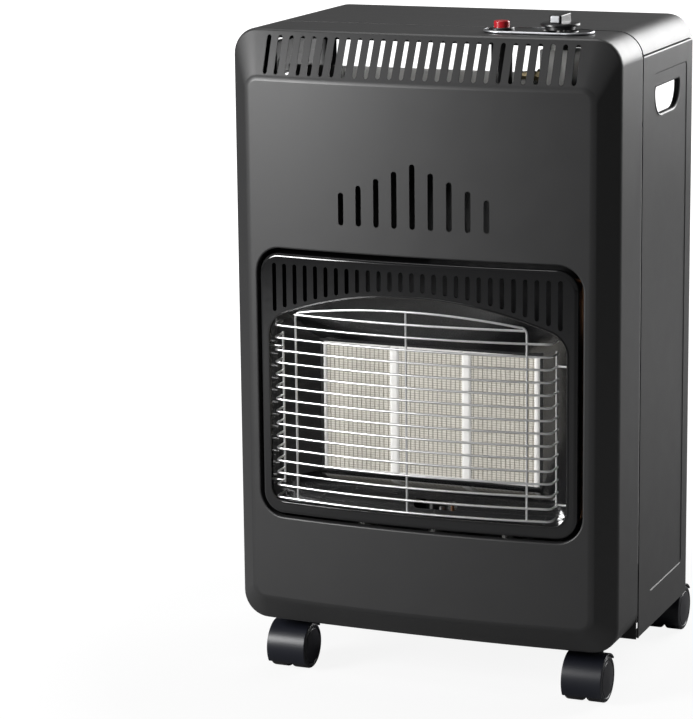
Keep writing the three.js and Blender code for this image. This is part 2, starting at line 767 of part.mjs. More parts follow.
function burnerHousing() {
  const wall = HOUSING_SHEET;
  const box = block([-HOUSING_HALF, HOUSING_FRONT, HOUSING_LOW], [HOUSING_HALF, HOUSING_BACK, HOUSING_HIGH]);
  const room = block(
    [-HOUSING_HALF + wall, HOUSING_FRONT - 1, HOUSING_LOW + wall],
    [HOUSING_HALF - wall, HOUSING_BACK - wall, HOUSING_HIGH - wall],
  );
  const plaqueBack = PLAQUE_FACE + PLAQUE_THICKNESS + CLEARANCE;
  const dividers = [-1, 1].map((side) => block(
    [side * PLAQUE_PITCH / 2 - wall, plaqueBack, HOUSING_LOW + wall / 2],
    [side * PLAQUE_PITCH / 2 + wall, HOUSING_BACK - wall / 2, HOUSING_HIGH - wall / 2],
  ));
  const mixingPorts = [-1, 0, 1].map((place) => bar(
    [place * PLAQUE_PITCH, BURNER_LINE_Y + 4, HOUSING_LOW - 1],
    [place * PLAQUE_PITCH, BURNER_LINE_Y + 4, HOUSING_LOW + 2 * wall],
    VENTURI_DIAMETER / 2 - VENTURI_WALL,
    12,
  ));
  const lugs = [-1, 1].flatMap((side) => [HOUSING_LOW + 20, HOUSING_HIGH - 20].map((z) => block(
    [side * (HOUSING_HALF - 20) - 8, HOUSING_BACK - wall / 2, z - wall],
    [side * (HOUSING_HALF - 20) + 8, SHELL_DEPTH, z + wall],
  )));
  return cutBy(joined([box.subtract(room), ...dividers, ...lugs]), mixingPorts);
}

const VENTURI_TOP = HOUSING_LOW - CLEARANCE;
const VENTURI_BOTTOM = VENTURI_TOP - VENTURI_LENGTH;
const VENTURI_Y = BURNER_LINE_Y + 4;

function venturi() {
  const r = VENTURI_DIAMETER / 2;
  const wall = VENTURI_WALL;
  const profile = [
    [r - wall, VENTURI_TOP],
    [r - wall - 1.5, VENTURI_TOP - VENTURI_LENGTH * 0.6],
    [r + 1, VENTURI_BOTTOM],
    [r + 1 + wall, VENTURI_BOTTOM],
    [r - 1.5, VENTURI_TOP - VENTURI_LENGTH * 0.6],
    [r, VENTURI_TOP - wall],
    [r + 3, VENTURI_TOP - wall],
    [r + 3, VENTURI_TOP],
    [r - wall, VENTURI_TOP],
  ].map(([radius, z]) => new THREE.Vector2(radius, z));
  const tube = new THREE.LatheGeometry(profile, 10);
  tube.rotateX(Math.PI / 2);
  tube.translate(0, VENTURI_Y, 0);
  return solid(tube);
}

const MANIFOLD_Z = VENTURI_BOTTOM - INJECTOR_GAP - INJECTOR_LENGTH - MANIFOLD_DIAMETER / 2;
const MANIFOLD_HALF = PLAQUE_PITCH + 18;

function gasManifold() {
  const rail = bar(
    [-MANIFOLD_HALF, VENTURI_Y, MANIFOLD_Z],
    [MANIFOLD_HALF, VENTURI_Y, MANIFOLD_Z],
    MANIFOLD_DIAMETER / 2,
    12,
  );
  const injectors = [-1, 0, 1].map((place) => bar(
    [place * PLAQUE_PITCH, VENTURI_Y, MANIFOLD_Z],
    [place * PLAQUE_PITCH, VENTURI_Y, VENTURI_BOTTOM - INJECTOR_GAP],
    MANIFOLD_DIAMETER / 4,
    8,
  ));
  const tabs = [-1, 1].map((side) => block(
    [side * PLAQUE_PITCH / 2 - 6, VENTURI_Y, MANIFOLD_Z - 1],
    [side * PLAQUE_PITCH / 2 + 6, SHELL_DEPTH, MANIFOLD_Z + 1],
  ));
  return joined([rail, ...injectors, ...tabs]);
}

const PILOT_SHELF = PILOT_SLOT_LOW - 12;
const PILOT_Y = LINER_REAR - 9;
const pilotHole = (x, radius) => (
  bar([x, PILOT_Y, PILOT_SHELF - 3], [x, PILOT_Y, PILOT_SHELF + 3], radius, 10)
);

function pilotBracket() {
  const half = PILOT_SLOT_LENGTH / 2;
  const rear = HOUSING_FRONT + 6;
  const shelf = block([PILOT_X - half, PILOT_Y - 5, PILOT_SHELF], [PILOT_X + half, rear, PILOT_SHELF + 1.2]);
  const upright = block(
    [PILOT_X - half, rear - SHEET, PILOT_SHELF],
    [PILOT_X + half, rear, HOUSING_LOW - CLEARANCE],
  );
  const holes = [
    pilotHole(PILOT_X - PILOT_PITCH, 2.1),
    pilotHole(PILOT_X, 3.1),
    pilotHole(PILOT_X + PILOT_PITCH, 2.1),
  ];
  return cutBy(shelf.add(upright), holes);
}

// A stepped rod that stands in the pilot bracket.
function pilotRod(x, radius, tip) {
  const foot = bar([x, PILOT_Y, PILOT_SHELF - 10], [x, PILOT_Y, PILOT_SHELF - CLEARANCE], radius + 1.5, 8);
  const rod = bar([x, PILOT_Y, PILOT_SHELF - 10], [x, PILOT_Y, tip], radius, 10);
  return foot.add(rod);
}

const VALVE_HALF = 17;
const VALVE_BOTTOM = UNDER_SHELL - VALVE_HEIGHT;
const SPINDLE_BOTTOM = CABINET_TOP - SPINDLE_DEPTH;
const KNOB_BOTTOM = CABINET_TOP + CLEARANCE + BEZEL_HEIGHT + CLEARANCE + KNOB_TRAVEL;

function gasValve() {
  const body = block(
    [KNOB_X - VALVE_HALF, CONTROL_Y - VALVE_HALF + 3, VALVE_BOTTOM],
    [KNOB_X + VALVE_HALF, CONTROL_Y + VALVE_HALF - 3, UNDER_SHELL - 14],
  );
  const neck = bar([KNOB_X, CONTROL_Y, UNDER_SHELL - 15], [KNOB_X, CONTROL_Y, UNDER_SHELL], 11, 16);
  const bore = runningHole(
    [KNOB_X, CONTROL_Y, SPINDLE_BOTTOM - KNOB_TRAVEL - 1],
    [KNOB_X, CONTROL_Y, UNDER_SHELL + 1],
    SPINDLE_DIAMETER,
    16,
  );
  const magnetCap = bar(
    [KNOB_X - 6, CONTROL_Y, VALVE_BOTTOM - 16],
    [KNOB_X - 6, CONTROL_Y, VALVE_BOTTOM + 1],
    7,
    12,
  );
  return joined([body, neck, magnetCap]).subtract(bore);
}

function valveSpindle() {
  return bar(
    [KNOB_X, CONTROL_Y, SPINDLE_BOTTOM],
    [KNOB_X, CONTROL_Y, KNOB_BOTTOM + KNOB_HEIGHT * 0.6],
    SPINDLE_DIAMETER / 2,
    16,
  );
}

// The hose tail, with its three barbs, on the side of the valve.
function inletNozzle() {
  const root = KNOB_X - VALVE_HALF - CLEARANCE;
  const r = NOZZLE_DIAMETER / 2;
  const profile = [[0, 0], [r + 2, 0], [r + 2, 6], [r - 1, 6]];
  for (let i = 0; i < 3; i += 1) profile.push([r, 9 + 7 * i], [r - 1, 15 + 7 * i]);
  profile.push([r - 1.5, NOZZLE_LENGTH], [r - 3, NOZZLE_LENGTH], [r - 3, 3], [0, 3]);
  const tail = new THREE.LatheGeometry(profile.map(([a, b]) => new THREE.Vector2(a, b)), 8);
  tail.rotateZ(Math.PI / 2);
  tail.translate(root, CONTROL_Y, VALVE_BOTTOM + 10);
  return solid(tail);
}

function feedPipe() {
  const x = KNOB_X + 8;
  const side = HALF_WIDTH - FEED_PIPE_INSET;
  const y = (CONTROL_Y + VENTURI_Y) / 2;
  const end = MANIFOLD_HALF + CLEARANCE;
  return sweep([
    [x, CONTROL_Y, VALVE_BOTTOM - CLEARANCE],
    [x, CONTROL_Y, VALVE_BOTTOM - 25],
    [x + 4, CONTROL_Y, VALVE_BOTTOM - 35],
    [side - 4, y, VALVE_BOTTOM - 60],
    [side, y, VALVE_BOTTOM - 70],
    [side, VENTURI_Y, MANIFOLD_Z + 22],
    [side - 6, VENTURI_Y, MANIFOLD_Z + 6],
    [side - 22, VENTURI_Y, MANIFOLD_Z],
    [end, VENTURI_Y, MANIFOLD_Z],
  ], FEED_PIPE_DIAMETER / 2, 8);
}

// ---- Controls on the top ---------------------------------------------------------------------------

const BEZEL_BOTTOM = CABINET_TOP + CLEARANCE;
const BEZEL_TOP = BEZEL_BOTTOM + BEZEL_HEIGHT;

function controlBezel() {
  const half = BEZEL_DEPTH / 2;
  const outline = (inset) => roundedRectangle(
    BEZEL_LEFT + inset,
    CONTROL_Y - half + inset,
    BEZEL_LEFT + BEZEL_LENGTH - inset,
    CONTROL_Y + half - inset,
    half - inset - 0.01,
  );
  const plate = alongZ(outline(0), BEZEL_BOTTOM, BEZEL_TOP, 4);
  const dish = alongZ(outline(2), BEZEL_TOP - 1, BEZEL_TOP + 1, 4);
  const upright = (x, low, high, radius, sides) => (
    bar([x, CONTROL_Y, low], [x, CONTROL_Y, high], radius, sides)
  );
  const ringRadius = BUTTON_RING_DIAMETER / 2;
  const ring = upright(BUTTON_X, BEZEL_BOTTOM + 1, BEZEL_TOP + BUTTON_RING_PROUD, ringRadius, 20);
  const holes = [
    upright(BUTTON_X, BEZEL_BOTTOM - 1, BEZEL_TOP + 3, BUTTON_DIAMETER / 2 + CLEARANCE, 20),
    upright(KNOB_X, BEZEL_BOTTOM - 1, BEZEL_TOP + 1, SPINDLE_DIAMETER / 2 + 1, 12),
  ];
  return cutBy(plate.subtract(dish).add(ring), holes);
}

function knob() {
  const r = KNOB_SKIRT_DIAMETER / 2;
  const low = KNOB_BOTTOM;
  const profile = [[0, 0], [r, 0], [r, 2], [r - 2, 4], [0, 4.5]]
    .map(([radius, height]) => new THREE.Vector2(radius, low + height));
  const skirt = new THREE.LatheGeometry(profile, 20);
  skirt.rotateX(Math.PI / 2);
  const grip = alongZ(
    roundedRectangle(-KNOB_GRIP_WIDTH / 2, -r + 3, KNOB_GRIP_WIDTH / 2, r - 3, 3),
    low + 3,
    low + KNOB_HEIGHT,
    4,
  );
  const boreTop = low + KNOB_HEIGHT * 0.6 + CLEARANCE;
  const bore = runningHole([0, 0, low - 1], [0, 0, boreTop], SPINDLE_DIAMETER, 16);
  return solid(skirt).add(grip).subtract(bore).translate([KNOB_X, CONTROL_Y, 0]);
}

const BUTTON_BOTTOM = UNDER_SHELL - BUTTON_ENGAGE;

function igniterButton() {
  const r = BUTTON_DIAMETER / 2;
  const top = BEZEL_TOP + BUTTON_HEIGHT;
  const profile = [
    [0, BUTTON_BOTTOM],
    [r, BUTTON_BOTTOM],
    [r, top - 1.5],
    [r - 1.5, top],
    [0, top + 0.4],
  ].map(([a, b]) => new THREE.Vector2(a, b));
  const cap = new THREE.LatheGeometry(profile, 20);
  cap.rotateX(Math.PI / 2);
  cap.translate(BUTTON_X, CONTROL_Y, 0);
  return solid(cap);
}

function igniterBody() {
  const r = BUTTON_DIAMETER / 2 + CLEARANCE;
  const at = (z) => [BUTTON_X, CONTROL_Y, z];
  const tube = bar(at(UNDER_SHELL - IGNITER_HEIGHT), at(UNDER_SHELL), r + IGNITER_WALL, 20);
  const bore = bar(at(BUTTON_BOTTOM - BUTTON_TRAVEL - 1), at(UNDER_SHELL + 1), r, 20);
  return tube.subtract(bore);
}

// ---- Chassis, hinges and folding cabinet -----------------------------------------------------------

const chassisOutline = (inset) => roundedRectangle(
  -CHASSIS_HALF + inset,
  CHASSIS_FLOOR + inset,
  CHASSIS_HALF - inset,
  UNDER_SHELL - inset,
  CORNER_RADIUS - SHEET - CLEARANCE - inset,
);

// An eye round a pin, with an arm that runs from it to what carries it.
function hingeEye(shapeAxis, centre, radius, arm, from, to) {
  const [u, v] = centre;
  const disc = new THREE.Shape().absarc(u, v, radius, 0, 2 * Math.PI);
  const strip = roundedRectangle(arm[0], arm[1], arm[2], arm[3], 0.01);
  const extrude = shapeAxis === 'x' ? alongX : alongZ;
  return extrude(disc, from, to, 5).add(extrude(strip, from, to, 1));
}

const PLATE_FRONT = SHELL_DEPTH + CLEARANCE;
const PLATE_BACK = PLATE_FRONT + SHEET;

// The hole for a side panel's pins, through the full height.
function sideHingeHole(side) {
  const x = side * SIDE_HINGE_X;
  return runningHole([x, SIDE_HINGE_Y, 0], [x, SIDE_HINGE_Y, CABINET_TOP], HINGE_PIN_DIAMETER);
}

// The span along X of a fixed lug beside a hinge's turning ear.
function lugSpan(side, spacing) {
  const edges = [spacing / 2 - CLEARANCE - HINGE_EAR, spacing / 2 - CLEARANCE];
  return side < 0 ? [-edges[1], -edges[0]] : edges;
}

// The span along X of the turning ear itself.
function earSpan(side, spacing) {
  const edges = [spacing / 2, spacing / 2 + HINGE_EAR];
  return side < 0 ? [-edges[1], -edges[0]] : edges;
}

function sideHingeEars() {
  const eye = HINGE_EYE_DIAMETER / 2;
  return [-1, 1].flatMap((side) => [SIDE_HINGE_LOW, SIDE_HINGE_HIGH].map((z) => {
    const x = side * SIDE_HINGE_X;
    return hingeEye(
      'z',
      [x, SIDE_HINGE_Y],
      eye,
      [x - eye, PLATE_BACK - SHEET / 2, x + eye, SIDE_HINGE_Y],
      z,
      z + HINGE_EAR,
    );
  }));
}

const HOOD_EYE = HOOD_HINGE_DROP - SHEET - CLEARANCE;

function hoodHingeLugs() {
  const rail = CHASSIS_BACK - SHEET / 2;
  const low = UNDER_SHELL - CHASSIS_RAIL_HEIGHT;
  return [-1, 1].map((side) => {
    const [from, to] = lugSpan(side, HOOD_HINGE_SPACING);
    const upright = [HOOD_HINGE_Y - HOOD_EYE, low, HOOD_HINGE_Y + HOOD_EYE, HOOD_HINGE_Z];
    const foot = roundedRectangle(rail, low, HOOD_HINGE_Y, low + 6, 0.01);
    return hingeEye('x', [HOOD_HINGE_Y, HOOD_HINGE_Z], HOOD_EYE, upright, from, to)
      .add(alongX(foot, from, to, 1));
  });
}

function trayHingeLugs() {
  const front = PLATE_BACK - SHEET / 2;
  const under = SKIRT_HEIGHT - 2 * CLEARANCE;
  return [-1, 1].map((side) => {
    const [from, to] = lugSpan(side, TRAY_HINGE_SPACING);
    const arm = [front, TRAY_HINGE_Z - TRAY_EYE, TRAY_HINGE_Y, under - CLEARANCE];
    const upright = roundedRectangle(front, TRAY_HINGE_Z - TRAY_EYE, front + 4, SKIRT_HEIGHT + 20, 0.01);
    return hingeEye('x', [TRAY_HINGE_Y, TRAY_HINGE_Z], TRAY_EYE, arm, from, to)
      .add(alongX(upright, from, to, 1));
  });
}

function rearChassis() {
  const hoodSwing = block(
    [-CABINET_WIDTH, CHASSIS_BACK - SHEET / 2, LID_BOTTOM - HOOD_SWING_ROOM],
    [CABINET_WIDTH, PLATE_BACK + 1, CABINET_TOP],
  );
  const rim = alongY(chassisOutline(0), SHELL_DEPTH - CHASSIS_FLANGE, PLATE_BACK - SHEET / 2)
    .subtract(alongY(chassisOutline(SHEET), SHELL_DEPTH - CHASSIS_FLANGE - 1, PLATE_BACK))
    .subtract(hoodSwing);
  const frame = alongY(chassisOutline(SHEET / 2), CHASSIS_BACK - SHEET, CHASSIS_BACK);
  const view = block(
    [-CHASSIS_HALF + CHASSIS_POST_WIDTH, 0, CHASSIS_FLOOR + CHASSIS_FLANGE],
    [CHASSIS_HALF - CHASSIS_POST_WIDTH, SHELL_DEPTH + 1, UNDER_SHELL - CHASSIS_RAIL_HEIGHT],
  );
  const plate = block([-CHASSIS_HALF, PLATE_FRONT, SKIRT_HEIGHT], [CHASSIS_HALF, PLATE_BACK, CHASSIS_TOP]);
  const shelfHalf = CHASSIS_HALF - CORNER_RADIUS;
  const shelf = block(
    [-shelfHalf, SHELL_DEPTH - CHASSIS_FLOOR_DEPTH, CHASSIS_FLOOR],
    [shelfHalf, PLATE_FRONT + SHEET / 2, CHASSIS_FLOOR + SHEET],
  );
  const pinHoles = [-1, 1].map((side) => sideHingeHole(side));
  const hoodHoles = runningHole(
    [-HOOD_HINGE_SPACING, HOOD_HINGE_Y, HOOD_HINGE_Z],
    [HOOD_HINGE_SPACING, HOOD_HINGE_Y, HOOD_HINGE_Z],
    HOOD_PIN_DIAMETER,
  );
  const trayHoles = runningHole(
    [-TRAY_HINGE_SPACING, TRAY_HINGE_Y, TRAY_HINGE_Z],
    [TRAY_HINGE_SPACING, TRAY_HINGE_Y, TRAY_HINGE_Z],
    HINGE_PIN_DIAMETER,
  );
  const stemHoles = [-1, 1].map((side) => runningHole(
    [side * CASTOR_FRONT_X, CASTOR_FRONT_Y, CHASSIS_FLOOR - 1],
    [side * CASTOR_FRONT_X, CASTOR_FRONT_Y, CHASSIS_FLOOR + SHEET + 1],
    CASTOR_STEM_DIAMETER,
  ));
  const body = joined([
    frame.subtract(view),
    rim,
    plate,
    shelf,
    ...sideHingeEars(),
    ...hoodHingeLugs(),
    ...trayHingeLugs(),
  ]);
  return cutBy(body, [...pinHoles, hoodHoles, trayHoles, ...stemHoles]);
}

// A headed pin along Z or X that starts at its head.
function headedPin(start, direction, length, radius) {
  const along = (distance) => start.map((value, i) => value + direction[i] * distance);
  const head = bar(start, along(1), radius + 1, 8);
  return head.add(bar(along(0.5), along(length), radius, 8));
}

function sideHingePin(side, z) {
  const start = [side * SIDE_HINGE_X, SIDE_HINGE_Y, z - CLEARANCE - 1];
  return headedPin(start, [0, 0, 1], 2 * (HINGE_EAR + CLEARANCE) + 3, HINGE_PIN_DIAMETER / 2);
}

function hoodHingePin(side) {
  const start = [side * (HOOD_HINGE_SPACING / 2 - HINGE_EAR - 2 * CLEARANCE - 1), HOOD_HINGE_Y, HOOD_HINGE_Z];
  return headedPin(start, [side, 0, 0], 2 * (HINGE_EAR + CLEARANCE) + 3, HOOD_PIN_DIAMETER / 2);
}

function trayHingePin(side) {
  const start = [side * (TRAY_HINGE_SPACING / 2 - HINGE_EAR - 2 * CLEARANCE - 1), TRAY_HINGE_Y, TRAY_HINGE_Z];
  return headedPin(start, [side, 0, 0], 2 * (HINGE_EAR + CLEARANCE) + 3, HINGE_PIN_DIAMETER / 2);
}

const PANEL_TOP = LID_BOTTOM - 2 * CLEARANCE;
const PANEL_INNER = HALF_WIDTH - SHEET;

function handHole(grow) {
  const rear = CABINET_DEPTH - HAND_HOLE_REAR_MARGIN;
  const [y0, y1] = [rear - HAND_HOLE_LENGTH - grow, rear + grow];
  const [z0, z1] = [HAND_HOLE_TOP - HAND_HOLE_HEIGHT - grow, HAND_HOLE_TOP + grow];
  const big = HAND_HOLE_HEIGHT * 0.8 + grow;
  const small = 4 + grow;
  const shape = new THREE.Shape();
  shape.absarc(y1 - big, z0 + big, big, -Math.PI / 2, 0);
  shape.absarc(y1 - small, z1 - small, small, 0, Math.PI / 2);
  shape.absarc(y0 + small, z1 - small, small, Math.PI / 2, Math.PI);
  shape.absarc(y0 + big, z0 + big, big, Math.PI, 1.5 * Math.PI);
  return shape;
}

// The right-hand panel: sheet, three turned-in flanges, a shallow pressed field and a rolled hand hole.
function rightPanel() {
  const sheet = block([PANEL_INNER, BEHIND_SEAM, SKIRT_HEIGHT], [HALF_WIDTH, CABINET_DEPTH, PANEL_TOP]);
  const turnedIn = HALF_WIDTH - PANEL_FLANGE;
  const rear = block([turnedIn, CABINET_DEPTH - SHEET, SKIRT_HEIGHT], [HALF_WIDTH, CABINET_DEPTH, PANEL_TOP]);
  const top = block([turnedIn, BEHIND_SEAM, PANEL_TOP - SHEET], [HALF_WIDTH, CABINET_DEPTH, PANEL_TOP]);
  const foot = block(
    [turnedIn, BEHIND_SEAM, SKIRT_HEIGHT],
    [HALF_WIDTH, CABINET_DEPTH, SKIRT_HEIGHT + SHEET],
  );
  const field = (inset) => roundedRectangle(
    BEHIND_SEAM + PANEL_EMBOSS_FRONT + inset,
    SKIRT_HEIGHT + PANEL_EMBOSS_BOTTOM + inset,
    CABINET_DEPTH - PANEL_EMBOSS_MARGIN - inset,
    PANEL_TOP - PANEL_EMBOSS_MARGIN - inset,
    4,
  );
  const backing = alongX(field(-SHEET), PANEL_INNER - PANEL_EMBOSS_DEPTH, PANEL_INNER + SHEET / 2, 1);
  const recess = alongX(field(0), HALF_WIDTH - PANEL_EMBOSS_DEPTH, HALF_WIDTH + 1, 1);
  const roll = alongX(handHole(SHEET), PANEL_INNER - HAND_HOLE_ROLL, PANEL_INNER + SHEET / 2);
  const hole = alongX(handHole(0), PANEL_INNER - HAND_HOLE_ROLL - 1, HALF_WIDTH + 1);
  const eye = HINGE_EYE_DIAMETER / 2;
  const ears = [SIDE_HINGE_LOW, SIDE_HINGE_HIGH].map((z) => hingeEye(
    'z',
    [SIDE_HINGE_X, SIDE_HINGE_Y],
    eye,
    [SIDE_HINGE_X, SIDE_HINGE_Y - eye, PANEL_INNER + SHEET / 2, SIDE_HINGE_Y + eye],
    z + HINGE_EAR + CLEARANCE,
    z + 2 * HINGE_EAR + CLEARANCE,
  ));
  const body = joined([sheet, rear, top, foot, backing, roll, ...ears]);
  return cutBy(body, [recess, hole, sideHingeHole(1)]);
}

function hood() {
  const outline = (inset) => roundedRectangle(
    -HALF_WIDTH + inset,
    LID_BOTTOM - 3 * CORNER_RADIUS,
    HALF_WIDTH - inset,
    CABINET_TOP - inset,
    CORNER_RADIUS - inset,
  );
  const below = block([-CABINET_WIDTH, 0, 0], [CABINET_WIDTH, CABINET_DEPTH + 1, LID_BOTTOM]);
  const skin = alongY(outline(0), BEHIND_SEAM, CABINET_DEPTH, 4)
    .subtract(alongY(outline(SHEET), BEHIND_SEAM - 1, CABINET_DEPTH - SHEET, 4))
    .subtract(below);
  const ears = [-1, 1].map((side) => {
    const [from, to] = earSpan(side, HOOD_HINGE_SPACING);
    const web = [HOOD_HINGE_Y, HOOD_HINGE_Z, HOOD_HINGE_Y + 15, CABINET_TOP - SHEET / 2];
    return hingeEye('x', [HOOD_HINGE_Y, HOOD_HINGE_Z], HOOD_EYE, web, from, to);
  });
  const reach = HOOD_HINGE_SPACING / 2 + HINGE_EAR + 1;
  const pin = runningHole(
    [-reach, HOOD_HINGE_Y, HOOD_HINGE_Z],
    [reach, HOOD_HINGE_Y, HOOD_HINGE_Z],
    HOOD_PIN_DIAMETER,
  );
  return joined([skin, ...ears]).subtract(pin);
}

function baseTray() {
  const half = TRAY_WIDTH / 2;
  const outline = (inset) => {
    const shape = new THREE.Shape();
    const r = TRAY_CORNER_RADIUS - inset;
    shape.moveTo(-half + inset, TRAY_FRONT);
    shape.lineTo(half - inset, TRAY_FRONT);
    shape.absarc(half - inset - r, TRAY_REAR - inset - r, r, 0, Math.PI / 2);
    shape.absarc(-half + inset + r, TRAY_REAR - inset - r, r, Math.PI / 2, Math.PI);
    return shape;
  };
  const plate = alongZ(outline(0), TRAY_TOP - SHEET, TRAY_TOP, 5);
  const skirt = alongZ(outline(0), TRAY_TOP - TRAY_RIB, TRAY_TOP - SHEET / 2, 5)
    .subtract(alongZ(outline(SHEET), TRAY_TOP - TRAY_RIB - 1, TRAY_TOP, 5));
  const openFront = block(
    [-half - 1, TRAY_FRONT - 1, TRAY_TOP - TRAY_RIB - 1],
    [half + 1, TRAY_FRONT + 12, TRAY_TOP - SHEET],
  );
  const ears = [-1, 1].map((side) => {
    const [from, to] = earSpan(side, TRAY_HINGE_SPACING);
    const web = [TRAY_HINGE_Y, TRAY_HINGE_Z, TRAY_HINGE_Y + 20, TRAY_TOP - SHEET / 2];
    return hingeEye('x', [TRAY_HINGE_Y, TRAY_HINGE_Z], TRAY_TOP - SHEET - TRAY_HINGE_Z + 1, web, from, to);
  });
  const pin = runningHole(
    [-TRAY_HINGE_SPACING / 2 - HINGE_EAR - 1, TRAY_HINGE_Y, TRAY_HINGE_Z],
    [TRAY_HINGE_SPACING / 2 + HINGE_EAR + 1, TRAY_HINGE_Y, TRAY_HINGE_Z],
    HINGE_PIN_DIAMETER,
  );
  const stemHoles = [-1, 1].map((side) => runningHole(
    [side * CASTOR_REAR_X, CASTOR_REAR_Y, TRAY_TOP - SHEET - 1],
    [side * CASTOR_REAR_X, CASTOR_REAR_Y, TRAY_TOP + 1],
    CASTOR_STEM_DIAMETER,
  ));
  const notches = [-1, 1].map((side) => {
    const x = side * TRAY_HINGE_SPACING / 2;
    const reach = HINGE_EAR + 3 * CLEARANCE + 1;
    const [from, to] = side < 0 ? [x, x + reach] : [x - reach, x];
    return block(
      [from, TRAY_FRONT - 1, TRAY_TOP - TRAY_RIB],
      [to, TRAY_HINGE_Y + TRAY_EYE + CLEARANCE, TRAY_TOP + 1],
    );
  });
  const pressed = joined([plate, skirt.subtract(openFront)]);
  return cutBy(joined([cutBy(pressed, notches), ...ears]), [pin, ...stemHoles]);
}

// ---- Castors ---------------------------------------------------------------------------------------

const HOOD_INNER = WHEEL_DIAMETER / 2 + CASTOR_HOOD_GAP;
const HOOD_OUTER = HOOD_INNER + CASTOR_HOOD;
const CASTOR_HALF = CASTOR_WEB / 2 + CLEARANCE + WHEEL_WIDTH;
const AXLE_HALF = CASTOR_HALF - 2.5;

// Stem axis at the origin, axle in front of it along X.
function castorHousing() {
  const centre = [-CASTOR_OFFSET, AXLE_HEIGHT];
  const from = THREE.MathUtils.degToRad(42);
  const to = THREE.MathUtils.degToRad(200);
  const guard = new THREE.Shape();
  guard.absarc(...centre, HOOD_OUTER, from, to, false);
  guard.absarc(...centre, HOOD_INNER, to, from, true);
  const cover = alongX(guard, -CASTOR_HALF + 0.5, CASTOR_HALF - 0.5, 6);
  const disc = new THREE.Shape().absarc(...centre, HOOD_INNER + 0.5, 0, 2 * Math.PI);
  const web = alongX(disc, -CASTOR_WEB / 2, CASTOR_WEB / 2, 12).subtract(block([-10, -60, -10], [10, 60, 7]));
  const boss = bar([0, 0, AXLE_HEIGHT], [0, 0, CASTOR_HEIGHT], CASTOR_BOSS_DIAMETER / 2, 12);
  const wheelRooms = [-1, 1].map((side) => bar(
    [side * CASTOR_WEB / 2, -CASTOR_OFFSET, AXLE_HEIGHT],
    [side * (CASTOR_HALF + 5), -CASTOR_OFFSET, AXLE_HEIGHT],
    HOOD_INNER,
    16,
  ));
  const rearClear = bar([0, 0, 0], [0, 0, AXLE_HEIGHT + 8], CASTOR_BOSS_DIAMETER, 8);
  const stemHole = runningHole([0, 0, STEM_LOW - CLEARANCE], [0, 0, CASTOR_HEIGHT + 1], CASTOR_STEM_DIAMETER);
  const axleHole = runningHole(
    [-CASTOR_WEB, -CASTOR_OFFSET, AXLE_HEIGHT],
    [CASTOR_WEB, -CASTOR_OFFSET, AXLE_HEIGHT],
    CASTOR_AXLE_DIAMETER,
  );
  const trimmedBoss = cutBy(boss, [...wheelRooms, rearClear]);
  return cutBy(joined([cover, web, trimmedBoss]), [stemHole, axleHole]);
}

function castorAxle() {
  return bar(
    [-AXLE_HALF, -CASTOR_OFFSET, AXLE_HEIGHT],
    [AXLE_HALF, -CASTOR_OFFSET, AXLE_HEIGHT],
    CASTOR_AXLE_DIAMETER / 2,
    8,
  );
}

function castorWheel(side) {
  const r = WHEEL_DIAMETER / 2;
  const bore = CASTOR_AXLE_DIAMETER / 2 + PIN_RUNNING_GAP;
  const inner = CASTOR_WEB / 2 + CLEARANCE;
  const profile = [
    [0, AXLE_HALF + CLEARANCE],
    [bore, AXLE_HALF + CLEARANCE],
    [bore, inner],
    [r - 2, inner],
    [r, inner + 2],
    [r, CASTOR_HALF - 3],
    [r - 3, CASTOR_HALF - 0.8],
    [r * 0.45, CASTOR_HALF],
    [0, CASTOR_HALF + 0.5],
  ].map(([radius, x]) => new THREE.Vector2(radius, side * x));
  const wheel = new THREE.LatheGeometry(profile, 16);
  wheel.rotateZ(-Math.PI / 2);
  wheel.translate(0, -CASTOR_OFFSET, AXLE_HEIGHT);
  return solid(wheel);
}

// The stem turns in the boss below, and its collar and nut clamp the sheet between them.
function castorStem(sheetUnder, sheetOver) {
  const r = CASTOR_STEM_DIAMETER / 2;
  const stem = bar([0, 0, STEM_LOW], [0, 0, sheetOver + 9], r, 8);
  const collar = bar(
    [0, 0, CASTOR_HEIGHT + CLEARANCE],
    [0, 0, sheetUnder - CLEARANCE],
    CASTOR_COLLAR_DIAMETER / 2,
    8,
  );
  const nut = bar([0, 0, sheetOver + CLEARANCE], [0, 0, sheetOver + 5], r + 3.5, 6);
  return joined([stem, collar, nut]);
}

// ---- Assembly --------------------------------------------------------------------------------------

const finish = (color, roughness, metalness) => ({ color, roughness, metalness });
const PAINT = finish(0x3c3c3d, 0.45, 0.2);
const BLACK_PAINT = finish(0x161616, 0.6, 0.2);
const ENAMEL = finish(0x151515, 0.2, 0.1);
const CHROME = finish(0xdedede, 0.15, 1);
const STEEL = finish(0x9a9a98, 0.4, 1);
const BRASS = finish(0xb08d4a, 0.35, 1);
const COPPER = finish(0xb06a45, 0.35, 1);
const CERAMIC = finish(0xd9cfb8, 0.9, 0);
const FIBRE = finish(0xf2f0ea, 0.95, 0);
const BLACK_PLASTIC = finish(0x15161a, 0.5, 0);
const RED_PLASTIC = finish(0xb01a20, 0.35, 0);

const heater = new THREE.Group();

function add(name, body, look, parent = heater) {
  const mesh = new THREE.Mesh(geometryOf(body), new THREE.MeshStandardMaterial(look));
  mesh.name = name;
  parent.add(mesh);
  return mesh;
}

add('front_shell', frontShell(), PAINT);
add('rear_chassis', rearChassis(), BLACK_PAINT);
add('burner_surround', burnerSurround(), ENAMEL);
add('firebox_liner', fireboxLiner(), ENAMEL);
add('wire_guard', wireGuard(), CHROME);

